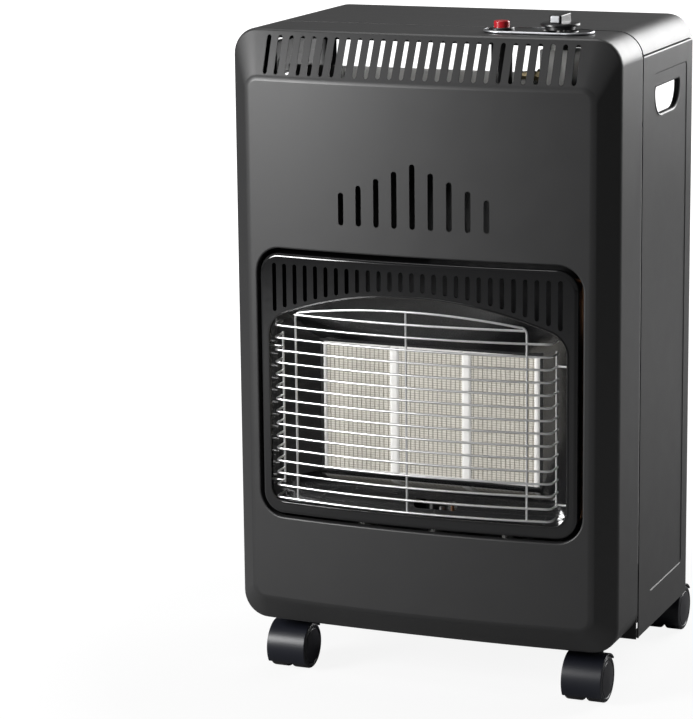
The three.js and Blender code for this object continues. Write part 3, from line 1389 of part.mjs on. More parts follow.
add('burner_housing', burnerHousing(), STEEL);
add('plaque_gasket', plaqueGasket(), FIBRE);
add('plaque_retainer', plaqueRetainer(), STEEL);
['left', 'centre', 'right'].forEach((place, i) => {
  const x = (i - 1) * PLAQUE_PITCH;
  add(`plaque_${place}`, plaque(), CERAMIC).position.x = x;
  add(`venturi_${place}`, venturi(), STEEL).position.x = x;
});
add('gas_manifold', gasManifold(), BRASS);
add('feed_pipe', feedPipe(), COPPER);
add('gas_valve', gasValve(), BRASS);
add('inlet_nozzle', inletNozzle(), BRASS);
add('pilot_bracket', pilotBracket(), STEEL);
add('pilot_burner', pilotRod(PILOT_X, 3, PILOT_SLOT_LOW - 2), BRASS);
add('thermocouple', pilotRod(PILOT_X + PILOT_PITCH, 2, PILOT_SLOT_LOW), COPPER);
add('spark_electrode', pilotRod(PILOT_X - PILOT_PITCH, 2, PILOT_SLOT_LOW), FIBRE);

add('control_bezel', controlBezel(), BLACK_PLASTIC);
add('valve_spindle', valveSpindle(), BRASS);
add('knob', knob(), BLACK_PLASTIC);
add('igniter_button', igniterButton(), RED_PLASTIC);
add('igniter_body', igniterBody(), BLACK_PLASTIC);

add('hood', hood(), PAINT);
const panel = rightPanel();
add('side_panel_right', panel, PAINT);
add('side_panel_left', panel.mirror([1, 0, 0]), PAINT);
add('base_tray', baseTray(), BLACK_PAINT);

[['left', -1], ['right', 1]].forEach(([hand, side]) => {
  add(`side_pin_${hand}_low`, sideHingePin(side, SIDE_HINGE_LOW), STEEL);
  add(`side_pin_${hand}_high`, sideHingePin(side, SIDE_HINGE_HIGH), STEEL);
  add(`hood_pin_${hand}`, hoodHingePin(side), STEEL);
  add(`tray_pin_${hand}`, trayHingePin(side), STEEL);
  const corners = [
    [`front_${hand}`, side * CASTOR_FRONT_X, CASTOR_FRONT_Y, SHELL_BOTTOM, CHASSIS_FLOOR + SHEET],
    [`rear_${hand}`, side * CASTOR_REAR_X, CASTOR_REAR_Y, TRAY_TOP - SHEET, TRAY_TOP],
  ];
  corners.forEach(([corner, x, y, sheetUnder, sheetOver]) => {
    const castor = new THREE.Group();
    castor.position.set(x, y, 0);
    heater.add(castor);
    add(`castor_stem_${corner}`, castorStem(sheetUnder, sheetOver), STEEL, castor);
    add(`castor_housing_${corner}`, castorHousing(), BLACK_PLASTIC, castor);
    add(`castor_axle_${corner}`, castorAxle(), STEEL, castor);
    add(`wheel_${corner}_a`, castorWheel(-1), BLACK_PLASTIC, castor);
    add(`wheel_${corner}_b`, castorWheel(1), BLACK_PLASTIC, castor);
  });
});

// Put the origin on the floor under the middle of the whole heater.
const GUARD_FRONT = guardAt(0) - WIRE_RADIUS;
heater.position.y = -(GUARD_FRONT + TRAY_REAR) / 2;

export default heater;
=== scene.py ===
# %% [markdown]
# # A folding gas cabinet heater
#
# The solids of this heater come from its CAD model. This lesson gives them the surfaces of the real
# thing: pressed and painted steel, gloss enamel, plated wire, fired ceramic and moulded plastic.
# Every piece is made in metres in the frame of the CAD model, so nothing needs to be fitted.

# %% Start from the frame
import json
import math

import bmesh
import bpy
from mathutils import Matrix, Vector


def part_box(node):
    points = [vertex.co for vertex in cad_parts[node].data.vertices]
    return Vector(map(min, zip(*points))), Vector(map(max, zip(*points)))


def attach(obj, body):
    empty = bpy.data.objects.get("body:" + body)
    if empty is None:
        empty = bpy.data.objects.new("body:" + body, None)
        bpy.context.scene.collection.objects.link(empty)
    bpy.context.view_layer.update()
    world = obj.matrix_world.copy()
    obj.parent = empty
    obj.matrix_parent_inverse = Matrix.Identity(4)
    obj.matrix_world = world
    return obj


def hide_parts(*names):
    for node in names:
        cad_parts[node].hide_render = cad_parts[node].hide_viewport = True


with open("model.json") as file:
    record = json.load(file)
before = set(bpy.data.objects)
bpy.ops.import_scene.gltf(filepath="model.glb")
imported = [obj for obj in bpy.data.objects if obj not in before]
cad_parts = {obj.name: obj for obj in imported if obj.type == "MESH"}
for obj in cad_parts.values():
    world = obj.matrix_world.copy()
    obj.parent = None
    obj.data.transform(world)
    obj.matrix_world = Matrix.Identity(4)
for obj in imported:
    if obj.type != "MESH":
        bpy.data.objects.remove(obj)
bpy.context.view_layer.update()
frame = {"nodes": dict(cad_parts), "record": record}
slot_of = {part["node"]: part["material_slot"] for part in frame["record"]["subparts"]}
bodies = frame["record"]["behaviour"]["bodies"]
body_of = {node: body for body, nodes in bodies.items() for node in nodes}
print("CAD nodes:", len(frame["nodes"]))

# %% [markdown]
# ## Where things are
#
# The drawing of the heater counts depth from the front edge of the shell's side, in millimetres.
# The frame has its origin under the middle of the heater, so one shift joins the two.

# %% Millimetres to the frame
MM = 0.001
SHELL_DEPTH = 70.0
DEPTH_SHIFT = SHELL_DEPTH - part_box("front_shell")[1].y / MM


def placed(points):
    """Points of the drawing, in millimetres, as metres in the frame."""
    return [((x) * MM, (y - DEPTH_SHIFT) * MM, z * MM) for x, y, z in points]


print("depth shift:", round(DEPTH_SHIFT, 2), "mm")

# %% [markdown]
# ## The camera
#
# The picture was taken from the right of the heater and a little above it, with a long lens. The
# lens, the place and the three turns were found by laying the corners of the cabinet over the
# picture. The lens has no shift, so the camera can be moved round the heater later.

# %% Camera
PICTURE = (693, 719)
FOCAL_PIXELS = 3023.8
CAMERA_AT = (1084.1, -2850.7, 1030.9)
CAMERA_TURNS = (1.35478, 0.01143, 0.38729)


def make_camera():
    lens = bpy.data.cameras.new("camera")
    lens.sensor_width = 36.0
    lens.lens = FOCAL_PIXELS * lens.sensor_width / max(PICTURE)
    lens.clip_start = 0.1
    lens.clip_end = 60.0
    camera = bpy.data.objects.new("camera", lens)
    bpy.context.scene.collection.objects.link(camera)
    camera.location = placed([CAMERA_AT])[0]
    camera.rotation_euler = CAMERA_TURNS
    bpy.context.scene.camera = camera
    return camera


camera = make_camera()
print("lens:", round(camera.data.lens, 1), "mm")

# %% [markdown]
# ## Graphs written as expressions
#
# Materials and shapes both come from node graphs. Wiring nodes one by one is long, so one small
# class holds a graph and a second one holds a socket. A socket can be added, multiplied and so on,
# and each of those expressions leaves a Math node in the graph.

# %% A small graph kit
class Socket:
    """One output of a node, which takes part in Python arithmetic."""

    def __init__(self, graph, socket):
        self.graph = graph
        self.socket = socket

    def join(self, operation, first, second):
        return self.graph.node("ShaderNodeMath", {"operation": operation}, {0: first, 1: second})

    def __add__(self, other):
        return self.join("ADD", self, other)

    def __sub__(self, other):
        return self.join("SUBTRACT", self, other)

    def __rsub__(self, other):
        return self.join("SUBTRACT", other, self)

    def __mul__(self, other):
        return self.join("MULTIPLY", self, other)

    def __truediv__(self, other):
        return self.join("DIVIDE", self, other)

    __radd__ = __add__
    __rmul__ = __mul__


class Graph:
    """A node tree that is filled by calls of node()."""

    def __init__(self, tree):
        self.tree = tree
        self.tree.nodes.clear()

    def node(self, kind, settings=None, sockets=None, output=0):
        """Adds a node: its settings first, then the values or links of its sockets."""
        made = self.tree.nodes.new(kind)
        for name, value in (settings or {}).items():
            if name == "stops":
                self.set_stops(made.color_ramp, value)
            else:
                setattr(made, name, value)
        for key, value in (sockets or {}).items():
            if isinstance(value, Socket):
                self.tree.links.new(value.socket, made.inputs[key])
            else:
                made.inputs[key].default_value = value
        return Socket(self, made.outputs[output]) if len(made.outputs) else made

    def set_stops(self, ramp, stops):
        while len(ramp.elements) < len(stops):
            ramp.elements.new(0.5)
        for element, (position, grey) in zip(ramp.elements, stops):
            element.position = position
            element.color = (grey, grey, grey, 1.0)


# %% [markdown]
# ## What every finish shares
#
# A finish starts with the same things: a noise on the object's own coordinates, a colour that
# shifts a little over the surface, a roughness that is never quite even, and a fine relief.

# %% Shared parts of a finish
class Finish(Graph):
    """A Principled surface whose colour, roughness and relief come from expressions."""

    def __init__(self, name, metallic=0.0, **fixed):
        self.material = bpy.data.materials.new(name)
        self.material.use_nodes = True
        super().__init__(self.material.node_tree)
        self.surface = self.tree.nodes.new("ShaderNodeBsdfPrincipled")
        output = self.tree.nodes.new("ShaderNodeOutputMaterial")
        self.tree.links.new(self.surface.outputs[0], output.inputs[0])
        self.surface.inputs["Metallic"].default_value = metallic
        for key, value in fixed.items():
            self.surface.inputs[key.replace("_", " ")].default_value = value
        self.where = self.node("ShaderNodeTexCoord", output="Object")

    def noise(self, scale, detail=2.0, roughness=0.5, where=None):
        sockets = {"Vector": where or self.where, "Scale": scale, "Detail": detail, "Roughness": roughness}
        return self.node("ShaderNodeTexNoise", None, sockets)

    def stretched(self, x, y, z):
        """The object's coordinates, squeezed along each axis."""
        return self.node("ShaderNodeMapping", None, {"Vector": self.where, "Scale": (x, y, z)})

    def between(self, factor, first, second):
        """A colour between two colours."""
        sockets = {"Factor": factor, 6: first, 7: second}
        return self.node("ShaderNodeMix", {"data_type": "RGBA"}, sockets, output=2)

    def ramp(self, value, *stops):
        return self.node("ShaderNodeValToRGB", {"stops": stops}, {"Fac": value})

    def wear(self, colour, spread, amount):
        """One colour with soft lighter and darker areas."""
        low = tuple(c * (1 - amount) for c in colour) + (1.0,)
        high = tuple(min(1.0, c * (1 + amount)) for c in colour) + (1.0,)
        return self.between(self.noise(spread, 3.0, 0.6), low, high)

    def set(self, key, value):
        if isinstance(value, Socket):
            self.tree.links.new(value.socket, self.surface.inputs[key])
        else:
            self.surface.inputs[key].default_value = value
        return self

    def relief(self, height, depth, strength=1.0):
        """Bump from a height of 0 to 1, with its depth in metres."""
        sockets = {"Height": height, "Distance": depth, "Strength": strength}
        return self.set("Normal", self.node("ShaderNodeBump", None, sockets))


# %% [markdown]
# ## Stove paint
#
# The cabinet is steel under a satin grey stove paint. Such a paint has a faint orange peel, fine
# enough that it shows only as a softness in the highlights. The chassis behind it has a
# flatter, darker coat, because it isn't meant to be seen.

# %% Painted finishes
def stove_paint(name, colour, rough, peel):
    paint = Finish(name, Specular_IOR_Level=0.5)
    paint.set("Base Color", paint.wear(colour, 6.0, 0.05))
    paint.set("Roughness", paint.noise(35.0, 4.0) * 0.08 + (rough - 0.04))
    grain = paint.noise(900.0, 3.0, 0.6) + paint.noise(2600.0, 2.0) * 0.5
    return paint.relief(grain, peel).material


cabinet_paint = stove_paint("cabinet_paint", (0.024, 0.024, 0.0245), 0.43, 0.00004)
chassis_paint = stove_paint("chassis_paint", (0.016, 0.016, 0.017), 0.55, 0.00006)

# %% [markdown]
# ## Vitreous enamel
#
# The surround and the fire box are coated with glass that is fired on to the steel. It is nearly
# black, very glossy, and slightly wavy, which breaks up what it mirrors.

# %% Enamel
def gloss_enamel():
    glaze = Finish("enamel", Coat_IOR=1.5, Coat_Roughness=0.12)
    glaze.set("Base Color", glaze.wear((0.006, 0.006, 0.0065), 9.0, 0.2))
    glaze.set("Roughness", glaze.noise(14.0, 3.0) * 0.06 + 0.10)
    glaze.set("Coat Weight", 0.6)
    return glaze.relief(glaze.noise(55.0, 2.0) + glaze.noise(700.0, 2.0) * 0.02, 0.0001).material


enamel = gloss_enamel()

# %% [markdown]
# ## Bare and plated metals
#
# Plated wire is almost a mirror. The hidden metalwork is zinc plated sheet, and the gas fittings
# are turned brass and drawn copper. All of them are the same finish with other numbers: fine
# streaks along the way the metal was drawn or rolled, and a patchy shine.

# %% Metals
def bare_metal(name, colour, rough, streaks=(1.0, 1.0, 1.0), depth=0.00001, patch=0.12):
    metal = Finish(name, metallic=1.0)
    along = metal.stretched(*streaks)
    grain = metal.noise(1400.0, 3.0, 0.6, along)
    metal.set("Base Color", metal.wear(colour, 40.0, patch))
    metal.set("Roughness", grain * 0.12 + metal.noise(60.0) * 0.08 + (rough - 0.10))
    return metal.relief(grain, depth).material


chrome_wire = bare_metal("chrome_wire", (0.90, 0.90, 0.90), 0.32, (0.1, 1.0, 1.0), 0.000004, 0.04)
zinc_steel = bare_metal("zinc_steel", (0.36, 0.36, 0.35), 0.46, (0.05, 1.0, 1.0))
brass = bare_metal("brass", (0.34, 0.28, 0.17), 0.42, (1.0, 1.0, 0.1))
copper = bare_metal("copper", (0.72, 0.36, 0.20), 0.34, (1.0, 1.0, 0.08))

# %% [markdown]
# ## Ceramic and fibre
#
# A plaque is a slab of fired ceramic with thousands of burner holes about a millimetre wide. They
# stand in small oblong fields with a blank line between fields. The fields are real relief, made
# further down. The holes themselves are too small for that and come from this finish: two waves
# give a lattice of dots, which sink in and carry painted shade, and slower waves paint shade into
# the lines between the fields. The joints between plaques are packed with white ceramic fibre, a
# matt, woolly blanket.

# %% Ceramic finishes
HOLE_PITCH = 0.00125
FIELD_PITCH = 0.005
FIELD_ROW = 0.0025


def wave(graph, axis, pitch):
    """A wave from 0 to 1 along one axis of the object, 1 at every multiple of the pitch."""
    turns = graph.node("ShaderNodeSeparateXYZ", None, {0: graph.where}, output=axis) * (2 * math.pi / pitch)
    return graph.node("ShaderNodeMath", {"operation": "COSINE"}, {0: turns}) * 0.5 + 0.5


def fired_ceramic():
    clay = Finish("ceramic", Specular_IOR_Level=0.3)
    across = wave(clay, "X", HOLE_PITCH) + wave(clay, "Z", HOLE_PITCH)
    # Painted shade: the holes and the lines between the fields are darkened to a brown grey, as the shade
    # inside them.
    holes = clay.ramp(across * 0.5, (0.45, 0.0), (0.85, 1.0))
    columns = clay.ramp(1 - wave(clay, "X", FIELD_PITCH), (0.80, 0.0), (0.97, 1.0))
    rows = clay.ramp(wave(clay, "Z", FIELD_ROW), (0.60, 0.0), (0.95, 1.0))
    tint = clay.wear((0.95, 0.92, 0.84), 25.0, 0.05)
    dark = (0.36, 0.33, 0.27, 1.0)
    lines_shaded = clay.between(columns * 0.75, clay.between(rows * 0.55, tint, dark), dark)
    clay.set("Base Color", clay.between(holes * 0.5, lines_shaded, dark))
    clay.set("Roughness", clay.noise(300.0) * 0.1 + 0.8)
    return clay.relief(1 - holes, 0.0004).material


def ceramic_fibre():
    wool = Finish("fibre", Specular_IOR_Level=0.2)
    strands = wool.noise(500.0, 6.0, 0.75, wool.stretched(1.0, 1.0, 0.35))
    wool.set("Base Color", wool.between(strands, (0.84, 0.83, 0.80, 1.0), (0.95, 0.94, 0.92, 1.0)))
    wool.set("Roughness", strands * 0.1 + 0.88)
    return wool.relief(strands, 0.0005).material


ceramic = fired_ceramic()
fibre = ceramic_fibre()

# %% [markdown]
# ## Plastics
#
# The control bezel, the knob and the castors are moulded. Their tools are spark eroded, which
# leaves a fine even grain on the part. The igniter button is a clear gloss red. The bead round the
# bezel and the insert of the knob are plated, so they are made as metals are.

# %% Plastic finishes
def moulded(name, colour, rough, grain_scale, grain_depth, spread=0.06):
    plastic = Finish(name, Specular_IOR_Level=0.5)
    grain = plastic.noise(grain_scale, 3.0, 0.65)
    plastic.set("Base Color", plastic.wear(colour, 30.0, spread))
    plastic.set("Roughness", grain * 0.10 + (rough - 0.05))
    return plastic.relief(grain, grain_depth).material


black_plastic = moulded("black_plastic", (0.010, 0.010, 0.011), 0.30, 1500.0, 0.00005)
castor_plastic = moulded("castor_plastic", (0.009, 0.010, 0.015), 0.36, 900.0, 0.00006)
castor_wheel = moulded("castor_wheel", (0.006, 0.006, 0.010), 0.42, 700.0, 0.00008)
red_plastic = moulded("red_plastic", (0.42, 0.012, 0.020), 0.22, 300.0, 0.00002)
silver_face = bare_metal("silver_face", (0.52, 0.53, 0.55), 0.38, (1.0, 0.1, 1.0))
print("finishes:", len([m for m in bpy.data.materials if m.use_nodes]))

# %% [markdown]
# ## From points to a piece
#
# Each finished piece is one mesh whose object sits at the origin. It rides on a body of the CAD
# model and hides the CAD nodes that it stands for.
# Sheet metal and mouldings have no truly sharp edges, so an angle-limited bevel gives each piece
# the small edge radius that catches the light.

# %% Piece helpers
def mesh_of(name, points, faces, millimetres=True):
    """A mesh object whose faces all point outwards."""
    mesh = bpy.data.meshes.new(name)
    mesh.from_pydata(placed(points) if millimetres else points, [], faces)
    return face_outwards(linked(name, mesh))


def linked(name, mesh):
    made = bpy.data.objects.new(name, mesh)
    bpy.context.scene.collection.objects.link(made)
    return made


def face_outwards(piece):
    work = bmesh.new()
    work.from_mesh(piece.data)
    bmesh.ops.remove_doubles(work, verts=work.verts, dist=0.00001)
    bmesh.ops.recalc_face_normals(work, faces=work.faces)
    work.to_mesh(piece.data)
    work.free()
    return piece


def applied(piece):
    """The piece with its modifiers worked into its mesh."""
    graph = bpy.context.evaluated_depsgraph_get()
    mesh = bpy.data.meshes.new_from_object(piece.evaluated_get(graph))
    piece.modifiers.clear()
    piece.data = mesh
    return piece


def softened(piece, radius, angle=35.0, segments=2):
    """Rounds the sharp edges of a piece, given a radius in millimetres."""
    bevel = piece.modifiers.new("edge", "BEVEL")
    bevel.width = radius * MM
    bevel.segments = segments
    bevel.limit_method = "ANGLE"
    bevel.angle_limit = math.radians(angle)
    bevel.use_clamp_overlap = True
    bevel.miter_outer = "MITER_ARC"
    return applied(piece)


def shaded_by_curve(piece, slope_at):
    """Shades the bowed faces of a piece by their curve, and not by their facets."""
    mesh = piece.data
    normals = [corner.vector.copy() for corner in mesh.corner_normals]
    for polygon in mesh.polygons:
        for corner in polygon.loop_indices:
            x = mesh.vertices[mesh.loops[corner].vertex_index].co.x / MM
            ideal = Vector((slope_at(x), -1.0, 0.0)).normalized()
            facing = polygon.normal.dot(ideal)
            if abs(facing) > 0.997:
                normals[corner] = ideal if facing > 0 else -ideal
    mesh.normals_split_custom_set(normals)
    return piece


def smooth(piece, angle=35.0):
    """Shades the piece smoothly apart from its sharp edges."""
    piece.data.shade_smooth()
    work = bmesh.new()
    work.from_mesh(piece.data)
    for edge in work.edges:
        edge.smooth = len(edge.link_faces) == 2 and edge.calc_face_angle(0) < math.radians(angle)
    work.to_mesh(piece.data)
    work.free()
    flat = piece.modifiers.new("flat", "WEIGHTED_NORMAL")
    flat.keep_sharp = True
    return applied(piece)


def finished(piece, material, body, slot, *nodes):
    """Gives the piece its finish and its place in the frame."""
    piece.data.materials.clear()
    piece.data.materials.append(material)
    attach(piece, body)
    if nodes:
        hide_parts(*nodes)
    return piece


def cut(piece, tool):
    """Takes the tool's solid out of the piece, and the tool away."""
    boolean = piece.modifiers.new("cut", "BOOLEAN")
    boolean.operation = "DIFFERENCE"
    boolean.solver = "EXACT"
    boolean.object = tool
    applied(piece)
    bpy.data.objects.remove(tool)
    return piece


def merged(name, parts):
    """Several mesh objects as one."""
    work = bmesh.new()
    for part in parts:
        work.from_mesh(part.data)
        bpy.data.objects.remove(part)
    mesh = bpy.data.meshes.new(name)
    work.to_mesh(mesh)
    work.free()
    return linked(name, mesh)


# %% [markdown]
# ## Rings and lofts
#
# A deep-drawn pan is a family of rounded rectangles, one behind the other. Each is a ring of
# points, and a skin over all of the rings is the pan. The rings have far more points here than in
# the CAD model, so the corners are round from close by.

# %% Rings and lofts
CORNER_STEPS = 10
CHAIN_STEPS = 36


def arc(steps, start=0.0, end=math.pi / 2):
    return [start + (end - start) * i / steps for i in range(steps + 1)]


def round_points(centre, radius, start, end, steps=40):
    """Points on a round stretch in a plane."""
    u, v = centre
    return [(u + radius * math.cos(a), v + radius * math.sin(a)) for a in arc(steps, start, end)]


def circle(centre, radius, steps=40):
    return round_points(centre, radius, 0, 2 * math.pi, steps)[:-1]


def along_x(value):
    """A height or a depth that may change along X, from a function or from one number."""
    return value if callable(value) else lambda x: value


def rounded_ring(half, low, high, radius, depth):
    """A rounded rectangle in X and Z: the upper half from left to right, then the lower half back."""
    high_at, depth_at = along_x(high), along_x(depth)
    left = [(-half + radius * (1 - math.cos(a)), radius * (1 - math.sin(a))) for a in arc(CORNER_STEPS)]
    flat_half = half - radius
    middle = [(-flat_half + 2 * flat_half * i / CHAIN_STEPS, 0.0) for i in range(1, CHAIN_STEPS)]
    stations = left + middle + [(-x, drop) for x, drop in reversed(left)]
    upper = [(x, depth_at(x), high_at(x) - drop) for x, drop in stations]
    lower = [(x, depth_at(x), low + drop) for x, drop in stations]
    return upper + lower[::-1]


def bridge(first, second, count):
    """Faces between two rings of points, given where each ring starts."""
    return [(first + i, first + (i + 1) % count, second + (i + 1) % count, second + i) for i in range(count)]


def loft_faces(rings, per_ring):
    return [face for r in range(rings - 1) for face in bridge(r * per_ring, (r + 1) * per_ring, per_ring)]


def cap(points, start, per_ring, rows=1):
    """Covers a ring with rows of faces between its upper and its lower half."""
    columns = []
    for i in range(per_ring // 2):
        a, b = start + i, start + per_ring - 1 - i
        column = [a]
        inside = 0 < i < per_ring // 2 - 1
        for r in range(1, rows if inside else 1):
            column.append(len(points))
            points.append(tuple(p + (q - p) * r / rows for p, q in zip(points[a], points[b])))
        columns.append(column + [b])
    faces = []
    for left, right in zip(columns, columns[1:]):
        if len(left) == len(right):
            faces += [(left[r], right[r], right[r + 1], left[r + 1]) for r in range(len(left) - 1)]
        else:
            faces.append(tuple(left + right[::-1]))
    return faces


def lofted(name, rings, rows=1):
    """A closed solid through a row of rings, with a cap at each end."""
    n = len(rings[0])
    points = [p for ring in rings for p in ring]
    caps = cap(points, 0, n, rows) + cap(points, n * (len(rings) - 1), n, rows)
    return mesh_of(name, points, loft_faces(len(rings), n) + caps)


def wrapped(name, rings):
    """A closed skin through rings, whose last ring joins the first: a bead, a lip or a tube of sheet."""
    n = len(rings[0])
    faces = loft_faces(len(rings), n) + bridge(n * (len(rings) - 1), 0, n)
    return mesh_of(name, [p for ring in rings for p in ring], faces)


def thin_pan(name, outer, inner):
    """A sheet pan between two lofts that are open at the first ring and closed at the last."""
    return lofted(name, inner[::-1] + outer, rows=24)


def box(name, low, high):
    """A plain block between two corners, for a tool or for the body of a piece."""
    (x0, y0, z0), (x1, y1, z1) = low, high
    points = [(x, y, z) for z in (z0, z1) for x, y in ((x0, y0), (x1, y0), (x1, y1), (x0, y1))]
    faces = [(0, 1, 2, 3), (4, 5, 6, 7), (0, 1, 5, 4), (1, 2, 6, 5), (2, 3, 7, 6), (3, 0, 4, 7)]
    return mesh_of(name, points, faces)


AXIS_ORDER = {"x": (2, 0, 1), "y": (0, 2, 1), "z": (0, 1, 2)}


def prism(name, outline, axis, low, high):
    """An outline in the other two axes, drawn out along one axis."""
    n = len(outline)
    points = [tuple((u, v, w)[k] for k in AXIS_ORDER[axis]) for w in (low, high) for u, v in outline]
    return mesh_of(name, points, [tuple(range(n)), tuple(range(n, 2 * n))] + bridge(0, n, n))


def turned(name, profile, centre, axis, steps=64):
    """A body of revolution: pairs of radius and distance, turned about an axis through a point."""
    points = []
    for radius, along in profile:
        for u, v in circle((0, 0), radius, steps):
            points.append(tuple(centre[i] + (u, v, along)[k] for i, k in enumerate(AXIS_ORDER[axis])))
    return mesh_of(name, points, loft_faces(len(profile), steps))


def drill(name, radius, low, high, centre, axis="z", steps=64):
    """A plain round tool."""
    return turned(name, [(0, low), (radius, low), (radius, high), (0, high)], centre, axis, steps)


def rounded_box(u0, v0, u1, v1, radii, steps=8):
    """A rectangle with round corners: one radius for all, or four from the upper right on."""
    outline = []
    for quarter, r in enumerate(radii if isinstance(radii, tuple) else (radii,) * 4):
        centre = (u0 + r if quarter in (1, 2) else u1 - r, v0 + r if quarter in (2, 3) else v1 - r)
        outline += round_points(centre, r, quarter * math.pi / 2, (quarter + 1) * math.pi / 2, steps)
    return outline


# %% [markdown]
# ## Rows of slots
#
# The heater breathes through three rows of upright slots. A row is one slot repeated, so it is
# made with Geometry Nodes. The points of the row carry two numbers, the height of the slot's foot
# and of its head. The slot is instanced on them, and then its upper half moves up to the
# head and its lower half down to the foot, so that the round ends keep their shape.

# %% Geometry Nodes groups
def geometry_group(name, **kinds):
    """A graph with named inputs of these kinds, one geometry output, and the inputs' sockets."""
    tree = bpy.data.node_groups.new(name, "GeometryNodeTree")
    for label, kind in kinds.items():
        tree.interface.new_socket(label, in_out="INPUT", socket_type="NodeSocket" + kind)
    tree.interface.new_socket("Geometry", in_out="OUTPUT", socket_type="NodeSocketGeometry")
    graph = Graph(tree)
    graph.node("NodeGroupInput")
    entry = tree.nodes[-1]
    return graph, [Socket(graph, entry.outputs[i]) for i in range(len(kinds))]


def coated_output(graph, geometry, coat):
    """Gives the geometry its material and sends it out of the group."""
    coated = graph.node("GeometryNodeSetMaterial", None, {"Geometry": geometry, "Material": coat})
    graph.node("NodeGroupOutput", None, {0: coated})
    return graph.tree


def grown(piece, tree, **values):
    """The piece after a group has worked on it with these inputs."""
    modifier = piece.modifiers.new(tree.name, "NODES")
    modifier.node_group = tree
    for item in tree.interface.items_tree:
        if item.in_out == "INPUT" and item.name in values:
            modifier[item.identifier] = values[item.name]
    return applied(piece)


# %% The slot row
def slot_shape(width, front, back):
    """A slot of no length at the origin: two half rounds, drawn out from front to back."""
    upper = round_points((0, 1.0), width / 2, 0, math.pi, 6)
    lower = round_points((0, -1.0), width / 2, math.pi, 2 * math.pi, 6)
    return prism("slot", upper + lower, "y", front, back)


def slot_row_tree():
    """Instances a slot on points, and draws each one out between its foot and its head."""
    row, inputs = geometry_group("slot_row", Geometry="Geometry", Slot="Object", Finish="Material")
    geometry, slot_object, coat = inputs
    slot = row.node("GeometryNodeObjectInfo", None, {"Object": slot_object}, output="Geometry")
    placed_slots = row.node("GeometryNodeInstanceOnPoints", None, {"Points": geometry, "Instance": slot})
    real = row.node("GeometryNodeRealizeInstances", None, {0: placed_slots})
    height = row.node("GeometryNodeInputPosition")
    z = row.node("ShaderNodeSeparateXYZ", None, {0: height}, output="Z")
    is_upper = row.node("FunctionNodeCompare", {"operation": "GREATER_THAN"}, {0: z, 1: 0.0})
    named = {"data_type": "FLOAT"}
    head = row.node("GeometryNodeInputNamedAttribute", named, {"Name": "head"})
    foot = row.node("GeometryNodeInputNamedAttribute", named, {"Name": "foot"})
    lift = row.node("GeometryNodeSwitch", {"input_type": "FLOAT"}, {0: is_upper, 1: foot, 2: head})
    offset = row.node("ShaderNodeCombineXYZ", None, {"Z": lift})
    moved = row.node("GeometryNodeSetPosition", None, {"Geometry": real, "Offset": offset})
    return coated_output(row, moved, coat)


SLOT_ROW = slot_row_tree()


def slot_row(name, count, pitch, width, foot_at, head_at, front, back, coat):
    """A row of slots as one cutting tool."""
    xs = [(i - (count - 1) / 2) * pitch for i in range(count)]
    mesh = bpy.data.meshes.new(name)
    mesh.from_pydata([(x * MM, 0.0, 0.0) for x in xs], [], [])
    for key, height_at, shift in (("foot", foot_at, width / 2 + 1), ("head", head_at, -width / 2 - 1)):
        heights = mesh.attributes.new(key, "FLOAT", "POINT")
        heights.data.foreach_set("value", [(height_at(i, x) + shift) * MM for i, x in enumerate(xs)])
    slot = slot_shape(width, front, back)
    row = grown(linked(name, mesh), SLOT_ROW, Slot=slot, Finish=coat)
    bpy.data.objects.remove(slot)
    return row

# %% [markdown]
# ## The pressed shell
#
# The front of the heater is one deep-drawn sheet. Its rim is a flat band round the side, its edge
# is rolled over a 7 mm radius, and from there a conical blend climbs to a raised field that bows
# forward in the middle. The crease between blend and field is soft, which is what gives the long
# highlight under the top vents.

# %% Shell dimensions
HALF_WIDTH = 210.0
CABINET_TOP = 698.0
CABINET_DEPTH = 255.0
CORNER_RADIUS = 28.0
SHEET = 1.2
SEAM_GAP = 3.0
SHELL_BOTTOM = 64.0
EDGE_RADIUS = 7.0
EDGE_BOW = 8.0
EDGE_SWEEP = math.radians(50)
FIELD_RISE = 20.0
FIELD_BOW = 13.0
FIELD_HALF = 187.0
FIELD_TOP = CABINET_TOP - 49.5
FIELD_BOTTOM = SHELL_BOTTOM + 30.0
FIELD_CORNER = 12.0
CREASE = 4.0
CREASE_DROP = 0.7
CONTROL_Y = 36.0
BEZEL_LEFT = HALF_WIDTH - 156.0
BUTTON_X = BEZEL_LEFT + 18.0
KNOB_X = BEZEL_LEFT + 80.0
BUTTON_HOLE = 8.3
STEM_HOLE = 5.3
FRONT_CASTOR_X = 167.0
FRONT_CASTOR_Y = 57.0


def field_at(x):
    """Depth of the raised field."""
    return -FIELD_RISE - FIELD_BOW * (1 - (min(abs(x), FIELD_HALF) / FIELD_HALF) ** 2)


def field_slope(x):
    return 2 * FIELD_BOW * x / FIELD_HALF ** 2 if abs(x) < FIELD_HALF - CREASE else 0.0


def edge_at(x):
    """Depth of the rolled edge's outer end."""
    return -EDGE_BOW * (1 - (x / HALF_WIDTH) ** 2)


def shell_ring(inset, depth):
    """The shell's outline, moved in by an inset."""
    return rounded_ring(
        HALF_WIDTH - inset, SHELL_BOTTOM + inset, CABINET_TOP - inset, CORNER_RADIUS - inset, depth
    )


def field_ring(inset, depth):
    """The raised field's outline, moved in by an inset."""
    corner = FIELD_CORNER - min(inset, FIELD_CORNER / 2)
    return rounded_ring(FIELD_HALF - inset, FIELD_BOTTOM + inset, FIELD_TOP - inset, corner, depth)


